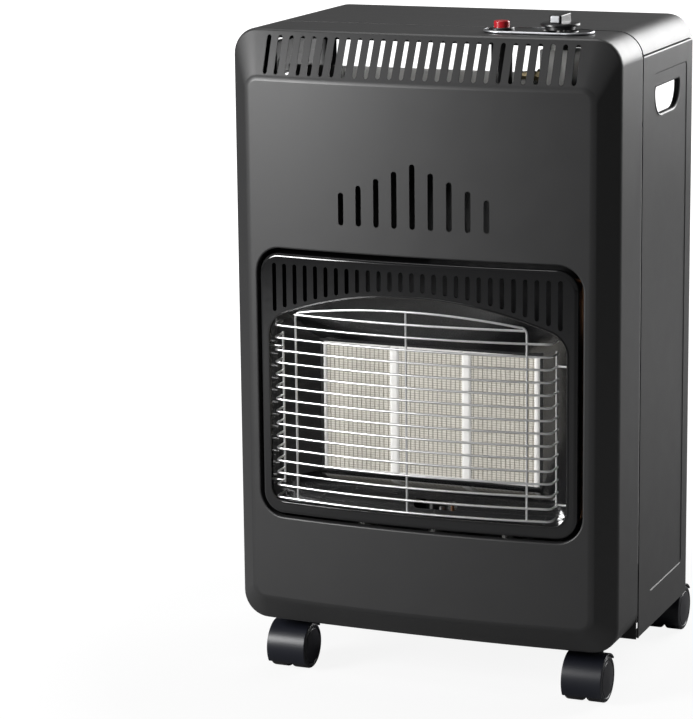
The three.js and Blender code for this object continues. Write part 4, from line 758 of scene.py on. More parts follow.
def shell_rings(wall):
    """The shell's surface, moved in by a wall, from its rear edge to the raised field."""
    rise = EDGE_RADIUS * math.sin(EDGE_SWEEP)
    rings = [shell_ring(wall, SHELL_DEPTH)]
    for lean in arc(8, 0, EDGE_SWEEP):
        inset = EDGE_RADIUS * (1 - math.cos(lean)) + wall * math.cos(lean)
        shift = rise - EDGE_RADIUS * math.sin(lean) + wall * math.sin(lean)
        rings.append(shell_ring(inset, lambda x, shift=shift: edge_at(x) + shift))
    for t in arc(5, 0.0, 1.0):
        lean = EDGE_SWEEP + (math.pi / 2 - EDGE_SWEEP) * t
        inset = wall * math.cos(lean) - CREASE * ((1 - t) ** 2 - t ** 2)
        shift = CREASE_DROP * CREASE * (1 - t) ** 2 + wall * math.sin(lean)
        rings.append(field_ring(inset, lambda x, shift=shift: field_at(x) + shift))
    return rings


# %% [markdown]
# The window for the burner has a flange that is turned back into the cabinet. It is made as a
# strip along the window's outline: a quarter round from the field into the flange, which is what
# draws the thin bright line round the burner in the picture.

# %% Window, vents and shell
WINDOW_HALF = 178.0
WINDOW_LOW = 185.0
WINDOW_HIGH = 473.0
WINDOW_CORNER = 27.0
WINDOW_FLANGE = 8.0
LIP_RADIUS = 2.0


def window_ring(inset, depth):
    return rounded_ring(
        WINDOW_HALF - inset, WINDOW_LOW + inset, WINDOW_HIGH - inset, WINDOW_CORNER - inset, depth
    )


def window_lip():
    """The rolled edge and flange of the window, as a closed strip of sheet."""
    section = [(LIP_RADIUS * (math.sin(a) - 1), LIP_RADIUS * (1 - math.cos(a))) for a in arc(6)]
    section += [(0.0, WINDOW_FLANGE), (-SHEET, WINDOW_FLANGE), (-SHEET, LIP_RADIUS), (-LIP_RADIUS, SHEET)]
    return wrapped("window_lip", [
        window_ring(inset, lambda x, shift=shift: field_at(x) + shift) for inset, shift in section
    ])


SLOTS = 27
TOP_PITCH = 12.8
TOP_WIDTH = 5.0
TOP_HIGH = CABINET_TOP - 2.5 - EDGE_RADIUS / 2
TOP_LENGTH = 39.0
MIDDLE_SLOTS = 9
MIDDLE_PITCH = 19.75
MIDDLE_WIDTH = 6.0
MIDDLE_LOW = 502.0
MIDDLE_HIGH = 569.0
MIDDLE_STEP = 8.25
TOOL_FRONT = -45.0


def top_vents():
    return slot_row(
        "top_vents", SLOTS, TOP_PITCH, TOP_WIDTH, lambda i, x: TOP_HIGH - TOP_LENGTH, lambda i, x: TOP_HIGH,
        TOOL_FRONT, EDGE_RADIUS, cabinet_paint,
    )


def middle_vents():
    """The tops of these slots step up to the middle one."""
    return slot_row(
        "middle_vents", MIDDLE_SLOTS, MIDDLE_PITCH, MIDDLE_WIDTH, lambda i, x: MIDDLE_LOW,
        lambda i, x: MIDDLE_HIGH - MIDDLE_STEP * abs(i - MIDDLE_SLOTS // 2),
        TOOL_FRONT, 0.0, cabinet_paint,
    )


def shell_holes():
    """Round tools for the spindle, the button and the two castor stems."""
    top, bottom = (CABINET_TOP - 8, CABINET_TOP + 4), (SHELL_BOTTOM - 4, SHELL_BOTTOM + 8)
    return [
        drill("spindle_hole", 6.0, *top, (KNOB_X, CONTROL_Y, 0), steps=32),
        drill("button_hole", BUTTON_HOLE, *top, (BUTTON_X, CONTROL_Y, 0), steps=32),
    ] + [
        drill("stem_hole", STEM_HOLE, *bottom, (x, FRONT_CASTOR_Y, 0), steps=32)
        for x in (FRONT_CASTOR_X, -FRONT_CASTOR_X)
    ]


def front_shell():
    shell = thin_pan("shell", shell_rings(0.0), shell_rings(SHEET))
    hole = lofted("window", [window_ring(-LIP_RADIUS, y) for y in (TOOL_FRONT, 0.0)])
    cut(shell, merged("openings", [hole, top_vents(), middle_vents()]))
    for tool in shell_holes():
        cut(shell, tool)
    return merged("front_shell_pressing", [shell, window_lip()])


shell = smooth(softened(front_shell(), 0.35, 50.0, 1), 28.0)
shaded_by_curve(shell, field_slope)
finished(shell, cabinet_paint, "cabinet", "cabinet_paint", "front_shell")
print("shell faces:", len(shell.data.polygons))

# %% [markdown]
# ## The enamelled surround
#
# A second pan stands in the window, 3 mm proud of the shell, with rounded shoulders. It holds the
# arched opening of the fire box and a row of slots that follows the arch. Its pan edge and the
# shell's lip leave a dark gap all round.

# %% Surround
SURROUND_HALF = 173.5
SURROUND_LOW = 189.5
SURROUND_HIGH = 468.5
SURROUND_CORNER = 22.5
SURROUND_SHEET = 1.0
SHOULDER = 4.0
OPENING_HALF = 163.0
OPENING_LOW = 203.0
OPENING_CROWN = 432.0
OPENING_SPRING = 398.0
OPENING_CORNER = 16.0
BEAD_RADIUS = 1.1
SURROUND_PITCH = 12.0
SURROUND_SLOT = 4.6
SLOT_MARGIN = 6.0
SLOT_HIGH = SURROUND_HIGH - 10.5


def surround_at(x):
    return field_at(x) - 3.0


def arch_at(x):
    return OPENING_CROWN - (OPENING_CROWN - OPENING_SPRING) * (x / OPENING_HALF) ** 2


def surround_rings(wall):
    def ring(inset, depth):
        return rounded_ring(
            SURROUND_HALF - inset, SURROUND_LOW + inset, SURROUND_HIGH - inset, SURROUND_CORNER - inset, depth
        )

    rings = [ring(wall, field_at(SURROUND_HALF) + 22.0)]
    for a in arc(8):
        inset = SHOULDER * (1 - math.cos(a)) + wall * math.cos(a)
        shift = SHOULDER * (1 - math.sin(a)) + wall * math.sin(a)
        rings.append(ring(inset, lambda x, shift=shift: surround_at(x) + shift))
    return rings


def opening_ring(depth, grow):
    """The arched opening's outline, grown by a margin."""
    return rounded_ring(
        OPENING_HALF + grow, OPENING_LOW - grow, lambda x: arch_at(x) + grow, OPENING_CORNER + grow, depth
    )


def opening_bead():
    """A small bead round the opening, where the sheet is turned back on itself."""
    section = circle((0.7, -0.3), BEAD_RADIUS, 10)
    return wrapped("bead", [
        opening_ring(lambda x, shift=shift: surround_at(x) + shift, grow) for grow, shift in section
    ])


def burner_surround():
    pan = thin_pan("surround", surround_rings(0.0), surround_rings(SURROUND_SHEET))
    opening = lofted("opening", [opening_ring(TOOL_FRONT, 0.0), opening_ring(0.0, 0.0)])
    slots = slot_row(
        "surround_slots", SLOTS, SURROUND_PITCH, SURROUND_SLOT,
        lambda i, x: arch_at(x) + SLOT_MARGIN, lambda i, x: SLOT_HIGH,
        TOOL_FRONT, field_at(SURROUND_HALF) + 4.0, enamel,
    )
    return cut(pan, merged("openings", [opening, slots]))


surround = merged("surround", [softened(burner_surround(), 0.45, 50.0, 2), opening_bead()])
shaded_by_curve(smooth(surround, 40.0), field_slope)
finished(surround, enamel, "cabinet", "enamel", "burner_surround")
print("surround faces:", len(surround.data.polygons))

# %% [markdown]
# ## The fire box
#
# Behind the opening a pan leads back to the ceramic plaques. Its sides flare, so that it throws
# the heat forward, and it mirrors the plaques and the guard. The last few millimetres before the
# plaques are straight.

# %% Fire box
HOUSING_HALF = 121.3
HOUSING_LOW = 229.7
HOUSING_HIGH = 370.3
LINER_LIP = 2.3
LINER_SHEET = 1.0
LINER_LAP = 2.0
LINER_REAR = 15.5
LINER_END = 17.0
LINER_STRAIGHT = field_at(OPENING_HALF) + 6.0
PILOT_X = 16.0
PILOT_LOW = 206.0
PILOT_HALF = 24.0
PILOT_HEIGHT = 9.0


def firebox_rings(wall):
    """From the opening back to the plaques. The floor drops late, so it ends in a flat ledge."""
    grow, edge = LINER_LIP + wall, LINER_LAP + wall
    low, high = HOUSING_LOW - grow, HOUSING_HIGH + grow
    start = opening_ring(LINER_STRAIGHT, edge)
    end, last = (
        rounded_ring(HOUSING_HALF + grow, low, high, 0.3 + wall, y) for y in (LINER_REAR, LINER_END)
    )
    floor = len(start) // 2
    rings = [opening_ring(surround_at(0) - 4.0, edge)]
    for t in arc(12, 0.0, 1.0):
        eased = 1 - (1 - t) ** 3
        ring = []
        for i, (p, q) in enumerate(zip(start, end)):
            climb = eased if i >= floor else t
            ring.append((p[0] + (q[0] - p[0]) * t, p[1] + (q[1] - p[1]) * t, p[2] + (q[2] - p[2]) * climb))
        rings.append(ring)
    return rings + [last]


def firebox_liner():
    liner = wrapped("liner", firebox_rings(LINER_SHEET) + firebox_rings(0.0)[::-1])
    behind_surround = lambda x: surround_at(x) + SURROUND_SHEET + 0.3
    trim = [rounded_ring(200.0, 150.0, 500.0, 5.0, y) for y in (-80.0, behind_surround)]
    cut(liner, lofted("front_trim", trim))
    left, right = PILOT_X - PILOT_HALF, PILOT_X + PILOT_HALF
    slot = rounded_box(left, PILOT_LOW, right, PILOT_LOW + PILOT_HEIGHT, 4.4)
    return cut(liner, prism("pilot_slot", slot, "y", LINER_STRAIGHT, LINER_REAR - 3.0))


liner = smooth(softened(firebox_liner(), 0.3, 50.0, 1), 28.0)
finished(liner, enamel, "cabinet", "enamel", "firebox_liner")

# %% [markdown]
# ## The wire guard
#
# The guard is drawn and plated wire. Fifteen long wires run across, each bent round at both ends
# and bowed forward, and a hoop, a middle wire and a short one are welded behind them. A wire is a
# round section that follows a path, so Geometry Nodes sweep it. The long wires are one path,
# instanced up the guard.

# %% The wire graph
WIRE = 2.4
WIRE_COUNT = 15
GUARD_LOW = 211.4
WIRE_PITCH = 13.13
GUARD_HALF = 151.0
GUARD_PROUD = 19.9
GUARD_BOW = 15.0
BEND = 7.0
HOOP_HALF = 126.0
HOOP_END = 410.0
HOOP_CROWN = 421.0
GUARD_BACK = LINER_STRAIGHT - 3.0


def wire_tree():
    """Repeats a path upwards, sweeps a round wire along it and closes its ends."""
    wires, inputs = geometry_group(
        "wires", Path="Geometry", Count="Int", Pitch="Float", Radius="Float", Finish="Material"
    )
    path, count, pitch, radius, coat = inputs
    step = wires.node("ShaderNodeCombineXYZ", None, {"Z": pitch})
    ladder = wires.node("GeometryNodeMeshLine", {"mode": "OFFSET"}, {"Count": count, "Offset": step})
    curve = wires.node("GeometryNodeMeshToCurve", None, {"Mesh": path})
    copies = wires.node("GeometryNodeInstanceOnPoints", None, {"Points": ladder, "Instance": curve})
    real = wires.node("GeometryNodeRealizeInstances", None, {0: copies})
    section = wires.node("GeometryNodeCurvePrimitiveCircle", None, {"Resolution": 10, "Radius": radius})
    sweep = {"Curve": real, "Profile Curve": section, "Fill Caps": True}
    return coated_output(wires, wires.node("GeometryNodeCurveToMesh", None, sweep), coat)


WIRES = wire_tree()


def wire(name, points, count=1, pitch=0.0):
    """One path of wire, or the same path repeated upwards."""
    mesh = bpy.data.meshes.new(name)
    mesh.from_pydata(placed(points), [(i, i + 1) for i in range(len(points) - 1)], [])
    return grown(
        linked(name, mesh), WIRES, Count=count, Pitch=pitch * MM, Radius=WIRE / 2 * MM, Finish=chrome_wire
    )


# %% [markdown]
# The wires' paths come from two curves: the bow of the guard's face, and the arch of its hoop.

# %% Guard
def guard_at(x):
    return -GUARD_RISE - GUARD_BOW * (1 - (x / GUARD_HALF) ** 2)


GUARD_RISE = FIELD_RISE + GUARD_PROUD


def bowed(half, steps, back=0.0, height=lambda x: 0.0):
    xs = [-half + 2 * half * i / steps for i in range(steps + 1)]
    return [(x, guard_at(x) + back, height(x)) for x in xs]


def long_wire():
    run = GUARD_HALF - BEND
    face = guard_at(run)
    turn = [(GUARD_HALF - BEND * (1 - math.cos(a)), face + BEND * (1 - math.sin(a)), 0.0) for a in arc(6)]
    right = [(GUARD_HALF, GUARD_BACK + WIRE / 2, 0.0)] + turn[:-1]
    left = [(-x, y, z) for x, y, z in right]
    path = left + bowed(run, 28) + right[::-1]
    return wire("long_wires", [(x, y, GUARD_LOW) for x, y, _ in path], WIRE_COUNT, WIRE_PITCH)


def hoop():
    weld = WIRE * 0.8
    depth = guard_at(HOOP_HALF) + weld
    arch_height = lambda x: HOOP_CROWN - (HOOP_CROWN - HOOP_END) * (x / HOOP_HALF) ** 2
    top = arch_height(HOOP_HALF - BEND)
    turn = [(HOOP_HALF - BEND * (1 - math.cos(a)), depth, top - BEND * (1 - math.sin(a))) for a in arc(5)]
    right = [(HOOP_HALF, depth, GUARD_LOW - WIRE / 2)] + turn[:-1]
    left = [(-x, y, z) for x, y, z in right]
    return wire("hoop", left + bowed(HOOP_HALF - BEND, 24, weld, arch_height) + right[::-1])


def wire_guard():
    top = GUARD_LOW + WIRE_PITCH * (WIRE_COUNT - 1)
    middle_y = guard_at(0) + WIRE * 0.8
    parts = [long_wire(), hoop()]
    parts.append(wire("middle", [(0, middle_y, GUARD_LOW - WIRE / 2), (0, middle_y, HOOP_CROWN)]))
    parts.append(wire("short", bowed(HOOP_HALF, 24, 0.0, lambda x: top + WIRE_PITCH)))
    for side in (-1, 1):
        x = side * (GUARD_HALF - WIRE * 0.4)
        wall = side * (OPENING_HALF + LINER_LAP - 0.3)
        low, high = GUARD_LOW + WIRE_PITCH, top - WIRE_PITCH
        parts.append(wire("side", [(x, GUARD_BACK, low - WIRE), (x, GUARD_BACK, high + WIRE)]))
        parts += [wire("foot", [(x, GUARD_BACK, z), (wall, GUARD_BACK, z)]) for z in (low, high - WIRE_PITCH)]
    return merged("guard_wires", parts)


guard = smooth(wire_guard(), 60.0)
finished(guard, chrome_wire, "cabinet", "chrome_wire", "wire_guard")
print("guard faces:", len(guard.data.polygons))

# %% [markdown]
# ## The plaques
#
# Each plaque is pressed with a pattern of small oblong pads, and each pad holds a few burner
# holes. A pad is instanced over a grid with Geometry Nodes on a plain slab. The pads are tiny and
# there are 810 on a plaque, so one pad has only six faces.

# %% Plaque pads
PLAQUE_PITCH = 80.0
PLAQUE_HALF = 39.7
PLAQUE_LOW = 231.0
PLAQUE_HEIGHT = 138.0
PLAQUE_FACE = 17.0
PLAQUE_DEPTH = 13.0
PAD_RELIEF = 0.6
PAD_COLUMNS = 15
PAD_ROWS = 54


def pad_tree():
    """Joins a slab with pads instanced on a grid over its face."""
    pads, inputs = geometry_group(
        "pads", Slab="Geometry", Pad="Object", Columns="Int", Rows="Int",
        Width="Float", Height="Float", Centre="Vector", Finish="Material",
    )
    slab, pad, columns, rows, width, height, centre, coat = inputs
    size = {"Size X": (columns - 1) * width, "Size Y": (rows - 1) * height}
    grid = pads.node("GeometryNodeMeshGrid", None, {"Vertices X": columns, "Vertices Y": rows, **size})
    turn = {"Geometry": grid, "Translation": centre, "Rotation": (math.pi / 2, 0.0, 0.0)}
    upright = pads.node("GeometryNodeTransform", None, turn)
    shape = pads.node("GeometryNodeObjectInfo", None, {"Object": pad}, output="Geometry")
    copies = pads.node("GeometryNodeInstanceOnPoints", None, {"Points": upright, "Instance": shape})
    real = pads.node("GeometryNodeRealizeInstances", None, {0: copies})
    both = pads.node("GeometryNodeJoinGeometry")
    for source in (slab, real):
        pads.tree.links.new(source.socket, both.socket.node.inputs[0])
    return coated_output(pads, both, coat)


PADS = pad_tree()


def pad_shape():
    """A flat pad that narrows towards its face, closed behind."""
    half, low = FIELD_PITCH / MM / 2 - 0.3, FIELD_ROW / MM / 2 - 0.2
    base = [(-half, 0, -low), (half, 0, -low), (half, 0, low), (-half, 0, low)]
    face = [(x * 0.9, -PAD_RELIEF, z * 0.8) for x, _, z in base]
    points = [(x * MM, y * MM, z * MM) for x, y, z in base + face]
    return mesh_of("pad", points, [(0, 1, 2, 3), (4, 5, 6, 7)] + bridge(0, 4, 4), millimetres=False)


# %% Plaques
def plaque(node, place, pad):
    x = place * PLAQUE_PITCH
    face_y = PLAQUE_FACE + PAD_RELIEF
    top = PLAQUE_LOW + PLAQUE_HEIGHT
    near, far = (x - PLAQUE_HALF, face_y, PLAQUE_LOW), (x + PLAQUE_HALF, PLAQUE_FACE + PLAQUE_DEPTH, top)
    tile = grown(
        box(node + "_tile", near, far), PADS, Pad=pad, Columns=PAD_COLUMNS, Rows=PAD_ROWS,
        Width=FIELD_PITCH, Height=FIELD_ROW, Centre=placed([(x, face_y, (PLAQUE_LOW + top) / 2)])[0],
        Finish=ceramic,
    )
    return finished(tile, ceramic, "cabinet", "ceramic", node)


pad = pad_shape()
for node, place in (("plaque_left", -1), ("plaque_centre", 0), ("plaque_right", 1)):
    tile = plaque(node, place, pad)
    print(node, "faces:", len(tile.data.polygons))
bpy.data.objects.remove(pad)

# %% [markdown]
# ## Fibre and clamping frame
#
# White fibre covers the joints and the edges of the plaques. Real fibre is cut by hand and
# squeezed, so its edges waver. A fine sheet is cut to the pattern, crowned in the middle, and its
# face is rippled by two waves while its place stays.

# %% Fibre gasket
ROW_HALF = 120.0
GASKET_THICK = 1.5
LEFT_STRIP = 4.0
RIGHT_STRIP = 6.0
JOINT_HALF = 5.0
EDGE_STRIP = 2.5
FIBRE_STEP = 1.5


def fibre_strip(name, x0, x1, z0, z1):
    """A soft strip of fibre: many points across, crowned in the middle, with a rippled face."""
    columns = max(4, int((x1 - x0) / FIBRE_STEP))
    rows = max(4, int((z1 - z0) / FIBRE_STEP))
    back = PLAQUE_FACE - 0.3
    points, faces = [], []
    for j in range(rows + 1):
        for i in range(columns + 1):
            u, v = i / columns, j / rows
            x, z = x0 + (x1 - x0) * u, z0 + (z1 - z0) * v
            swell = min(1.0, 6.0 * min(u, 1 - u) * (x1 - x0) / 12, 6.0 * min(v, 1 - v) * (z1 - z0) / 12)
            ripple = 0.10 * math.sin(z * 0.9 + x) + 0.08 * math.sin(z * 2.3 - x * 1.7)
            points.append((x, back - (GASKET_THICK - 0.25 + ripple) * max(0.0, swell) ** 0.5, z))
    across = columns + 1
    for j in range(rows):
        for i in range(columns):
            a = j * across + i
            faces.append((a, a + 1, a + across + 1, a + across))
    rim = list(range(across)) + [j * across + columns for j in range(1, rows + 1)]
    rim += [rows * across + i for i in range(columns - 1, -1, -1)]
    rim += [j * across for j in range(rows - 1, 0, -1)]
    start, count = len(points), len(rim)
    points += [(points[k][0], back, points[k][2]) for k in rim]
    faces += [(rim[i], rim[(i + 1) % count], start + (i + 1) % count, start + i) for i in range(count)]
    faces.append(tuple(range(start, start + count)))
    return mesh_of(name, points, faces)


def fibre_gasket():
    """Upright strips on the joints and sides, and thin ones between them along the edges."""
    top = PLAQUE_LOW + PLAQUE_HEIGHT
    joint = PLAQUE_PITCH / 2
    upright = (
        (-ROW_HALF, -ROW_HALF + LEFT_STRIP),
        (-joint - JOINT_HALF, -joint + JOINT_HALF),
        (joint - JOINT_HALF, joint + JOINT_HALF),
        (ROW_HALF - RIGHT_STRIP, ROW_HALF),
    )
    parts = [fibre_strip("strip", x0, x1, PLAQUE_LOW, top) for x0, x1 in upright]
    for z0, z1 in ((PLAQUE_LOW, PLAQUE_LOW + EDGE_STRIP), (top - EDGE_STRIP, top)):
        parts += [fibre_strip("edge", left[1], right[0], z0, z1) for left, right in zip(upright, upright[1:])]
    return merged("fibre_gasket", parts)


gasket = smooth(fibre_gasket(), 50.0)
finished(gasket, fibre, "cabinet", "fibre", "plaque_gasket")


# %% [markdown]
# ## The folding cabinet
#
# The sides and the top behind the shell fold away, so they are separate sheets with turned-in
# flanges. The seam between them and the shell is about 4 mm wide and reads as a black line. Each
# side has a shallow pressed field and a hand hole whose edge is rolled inwards.

# %% Hood
LID_BOTTOM = CABINET_TOP - 23.6
SEAM = SHELL_DEPTH + SEAM_GAP + 1.2
REAR_ROUND = 2.5


def hood_rings(wall):
    def ring(y, inset):
        return rounded_ring(
            HALF_WIDTH - inset, LID_BOTTOM - 84, CABINET_TOP - inset, CORNER_RADIUS - inset, y
        )

    rings = [ring(SEAM, wall)]
    for a in arc(5):
        inset = REAR_ROUND * (1 - math.cos(a)) + wall * math.cos(a)
        rings.append(ring(CABINET_DEPTH - REAR_ROUND * (1 - math.sin(a)) - wall * math.sin(a), inset))
    return rings


def hinge_eye(name, axis, centre, radius, arm, low, high):
    """A round eye and the arm that carries it, in a plane across the hinge's axis."""
    u0, v0, u1, v1 = arm
    bar = [(u0, v0), (u1, v0), (u1, v1), (u0, v1)]
    return [prism(name, outline, axis, low, high) for outline in (circle(centre, radius, 24), bar)]


def hood_piece():
    hood = thin_pan("hood", hood_rings(0.0), hood_rings(SHEET))
    cut(hood, box("below", (-250, 50, 500), (250, 300, LID_BOTTOM)))
    parts = [softened(hood, 0.35, 50.0, 1)]
    y, z = SHELL_DEPTH + 5.0, CABINET_TOP - 4.5
    for side in (-1, 1):
        low = side * 150 - (2.3 if side > 0 else -0.3)
        parts += hinge_eye("ear", "x", (y, z), 3.0, (y, z, y + 15, CABINET_TOP - 0.6), low, low + 2.0)
    return merged("hood_pressing", parts)


hood = smooth(hood_piece(), 28.0)
finished(hood, cabinet_paint, body_of["hood"], "cabinet_paint", "hood")

# %% Side panels
PANEL_INNER = HALF_WIDTH - SHEET
PANEL_LOW = 60.6
PANEL_TOP = LID_BOTTOM - 1.6
PANEL_FLANGE = 11.0
EMBOSS = 0.8
HAND_REAR = CABINET_DEPTH - 49.0
HAND_LENGTH = 88.0
HAND_TOP = CABINET_TOP - 62.0
HAND_HEIGHT = 29.0
HAND_ROLL = 5.0
ROLL_RADIUS = 2.0
LEAD = 2.1
FIELD_MARGIN = 40.0
FIELD_REAR_MARGIN = 22.0


def hand_hole(grow):
    """The outline of the hand hole: round below, nearly square above."""
    low, high = HAND_TOP - HAND_HEIGHT - grow, HAND_TOP + grow
    small, big = 4 + grow, HAND_HEIGHT * 0.8 + grow
    front, rear = HAND_REAR - HAND_LENGTH - grow, HAND_REAR + grow
    return rounded_box(front, low, rear, high, (small, small, big, big), 12)


def rolled_hand_hole():
    """The edge of the hand hole, turned inwards."""
    roll_end = PANEL_INNER - HAND_ROLL
    r = ROLL_RADIUS
    section = [(HALF_WIDTH - r * (1 - math.cos(a)), r * (1 - math.sin(a))) for a in arc(6)]
    section += [(roll_end, 0.0), (roll_end, SHEET), (PANEL_INNER, SHEET), (PANEL_INNER, r)]
    return wrapped("hand_hole_edge", [[(x, y, z) for y, z in hand_hole(grow)] for x, grow in section])


def field_outline(inset):
    near, far = FIELD_MARGIN + inset, FIELD_REAR_MARGIN + inset
    return rounded_box(SEAM + near, PANEL_LOW + near, CABINET_DEPTH - far, PANEL_TOP - far, 5)


def bent_panel():
    """A sheet with its flanges, cut from a rounded block by tools that reach well past it."""
    panel = box("panel", (100, SEAM, PANEL_LOW), (HALF_WIDTH, CABINET_DEPTH, PANEL_TOP))
    softened(panel, 2.0, 50.0, 4)
    inside_low = (50, SEAM - 9, PANEL_LOW + SHEET)
    cut(panel, box("inside", inside_low, (PANEL_INNER, CABINET_DEPTH - SHEET, PANEL_TOP - SHEET)))
    cut(panel, box("open", (50, SEAM - 9, 0), (HALF_WIDTH - PANEL_FLANGE, 300, 800)))
    return cut(panel, box("front", (50, SEAM - 9, 0), (250, SEAM + LEAD, 800)))


def right_panel():
    """The right-hand panel, bent, pressed and pierced in the order of a press line."""
    panel = bent_panel()
    lead = box("lead", (PANEL_INNER, SEAM, PANEL_LOW + 0.4), (HALF_WIDTH, SEAM + LEAD, PANEL_TOP - 0.4))
    recess = [(HALF_WIDTH + 1, -1.4), (HALF_WIDTH - EMBOSS, 0.9)]
    cut(panel, lofted("recess", [[(x, y, z) for y, z in field_outline(inset)] for x, inset in recess]))
    backing = prism("backing", field_outline(-1.0), "x", PANEL_INNER - EMBOSS, PANEL_INNER + 0.2)
    for sheet in (panel, backing):
        cut(sheet, prism("hole", hand_hole(ROLL_RADIUS), "x", HALF_WIDTH - 20, HALF_WIDTH + 10))
    parts = [softened(panel, 0.25, 30.0, 1), lead, backing, rolled_hand_hole()]
    x, y = HALF_WIDTH - 10.0, SHELL_DEPTH + 8.0
    for z in (130.0, CABINET_TOP - 98):
        parts += hinge_eye("ear", "z", (x, y), 4.0, (x, y - 4, PANEL_INNER + 0.6, y + 4), z + 2.3, z + 4.3)
    return merged("side_panel", parts)


for side, node in ((1, "side_panel_right"), (-1, "side_panel_left")):
    panel = right_panel()
    for vertex in panel.data.vertices:
        vertex.co.x *= side
    face_outwards(panel)
    panel.name = node + "_pressing"
    finished(smooth(panel, 28.0), cabinet_paint, body_of[node], "cabinet_paint", node)

# %% [markdown]
# ## Controls
#
# The bezel is a long oval with a bright bead on its rim. The igniter button stands in a collar at
# its left, and the knob at its right. The knob has a grip across it with a bright insert on its
# front end.

# %% Bezel, button and knob
BEZEL_LENGTH = 115.0
BEZEL_HALF = 22.0
BEZEL_LOW = CABINET_TOP + 0.3
BEZEL_THICK = 3.0
BUTTON_RADIUS = 8.0
KNOB_HOLE = 15.6
KNOB_RADIUS = 20.0
KNOB_LOW = BEZEL_LOW + BEZEL_THICK + 4.3
GRIP_INSET = 3.2
GRIP_HALF = 6.4
SPINDLE_BORE = 4.1


def oval(inset, z):
    """A ring of points round the bezel."""
    r = BEZEL_HALF - inset
    left, right = BEZEL_LEFT + BEZEL_HALF, BEZEL_LEFT + BEZEL_LENGTH - BEZEL_HALF
    turn = round_points((right, CONTROL_Y), r, -math.pi / 2, math.pi / 2, 32)
    turn += round_points((left, CONTROL_Y), r, math.pi / 2, 1.5 * math.pi, 32)
    return [(x, y, z) for x, y in turn]


def collar(name, x, inner, outer, low, high):
    """A raised ring round a hole."""
    inside = [(inner, low), (inner, high - 0.5), (inner + 0.5, high)]
    outside = [(outer - 0.8, high), (outer, high - 0.8), (outer, low), (inner, low)]
    return turned(name, inside + outside, (x, CONTROL_Y, 0.0), "z")


def bezel():
    z = BEZEL_LOW
    section = [(0.2, 0.0), (0.0, 0.4), (0.0, 2.2), (0.5, 2.5), (2.0, 1.9)]
    plate = lofted("plate", [oval(inset, z + rise) for inset, rise in section])
    holes = ((BUTTON_X, BUTTON_HOLE), (KNOB_X, KNOB_HOLE))
    cut(plate, merged("holes", [drill("hole", r, z - 1, z + 9, (x, CONTROL_Y, 0)) for x, r in holes]))
    return merged("bezel_moulding", [
        plate,
        collar("button_collar", BUTTON_X, BUTTON_HOLE, 13.0, z + 1.5, z + 4.4),
        collar("knob_collar", KNOB_X, 16.5, 19.2, z + 1.5, z + 2.6),
    ])


def rim_bead():
    """The bright bead on the rim of the bezel."""
    section = [(0.2, 0.5), (-0.15, 0.9), (-0.15, 2.0), (0.1, 2.45), (0.7, 2.6), (0.7, 0.5)]
    return wrapped("bezel_bead", [oval(inset, BEZEL_LOW + z) for inset, z in section])


def knob_moulding():
    r, z = KNOB_RADIUS, KNOB_LOW
    cup = [(0, -3.4), (15.2, -3.4), (15.2, 0.3)]
    rim = [(r - 1, 0.3), (r, 0.8), (r, 2.2), (r - 0.4, 2.8), (r - 2.0, 3.6), (0, 4.4)]
    skirt = turned("skirt", [(radius, z + rise) for radius, rise in cup + rim], (KNOB_X, CONTROL_Y, 0), "z")
    reach = r - GRIP_INSET
    top_view = rounded_box(KNOB_X - GRIP_HALF, CONTROL_Y - reach, KNOB_X + GRIP_HALF, CONTROL_Y + reach, 2.5)
    grip = softened(prism("grip", top_view, "z", z + 3, z + 11.9), 0.8, 50.0, 3)
    for part in (skirt, grip):
        cut(part, drill("bore", SPINDLE_BORE, z - 5, z + 7.4, (KNOB_X, CONTROL_Y, 0), steps=24))
    return merged("knob_moulding", [skirt, grip])


def grip_insert():
    """The bright face on the front end of the grip."""
    front, half = CONTROL_Y - KNOB_RADIUS + GRIP_INSET, GRIP_HALF - 1.8
    near, far = (KNOB_X - half, front - 0.35, KNOB_LOW + 4.6), (KNOB_X + half, front + 1.5, KNOB_LOW + 11.4)
    return softened(box("knob_insert", near, far), 0.6, 50.0, 3)


def button_moulding():
    r, low, high = BUTTON_RADIUS, CABINET_TOP - SHEET - 12.3, BEZEL_LOW + BEZEL_THICK + 8.0
    profile = [(0, low), (r, low), (r, high - 1.5)]
    profile += [(r - 1.5 * (1 - math.cos(a)), high - 1.5 * (1 - math.sin(a))) for a in arc(6)]
    profile += [(r / 2, high + 0.25), (0, high + 0.35)]
    return turned("button_moulding", profile, (BUTTON_X, CONTROL_Y, 0), "z")


finished(smooth(bezel(), 40.0), black_plastic, "cabinet", "black_plastic", "control_bezel")
finished(smooth(rim_bead(), 60.0), silver_face, "cabinet", "chrome_wire")
finished(smooth(knob_moulding(), 40.0), black_plastic, body_of["knob"], "black_plastic", "knob")
finished(smooth(grip_insert(), 40.0), silver_face, body_of["knob"], "chrome_wire")
button = smooth(button_moulding(), 50.0)
finished(button, red_plastic, body_of["igniter_button"], "red_plastic", "igniter_button")

# %% Heat shield
SHIELD_HALF = 178.0


def heat_shield():
    """The bent top edge of the rear frame, which shows through the lower ends of the top slots."""
    near = (-SHIELD_HALF, SHELL_DEPTH + 0.35, CABINET_TOP - 70)
    far = (SHIELD_HALF, SHELL_DEPTH + 1.5, CABINET_TOP - 45)
    return softened(box("heat_shield", near, far), 0.3, 50.0, 1)


finished(smooth(heat_shield(), 40.0), zinc_steel, "cabinet", "zinc_steel")

# %% [markdown]
# ## Castors
#
# Each castor is a moulded cover with a web down its middle, and a wheel on each side of the web. The
# cover reaches from above the back of the wheels to low down in front.

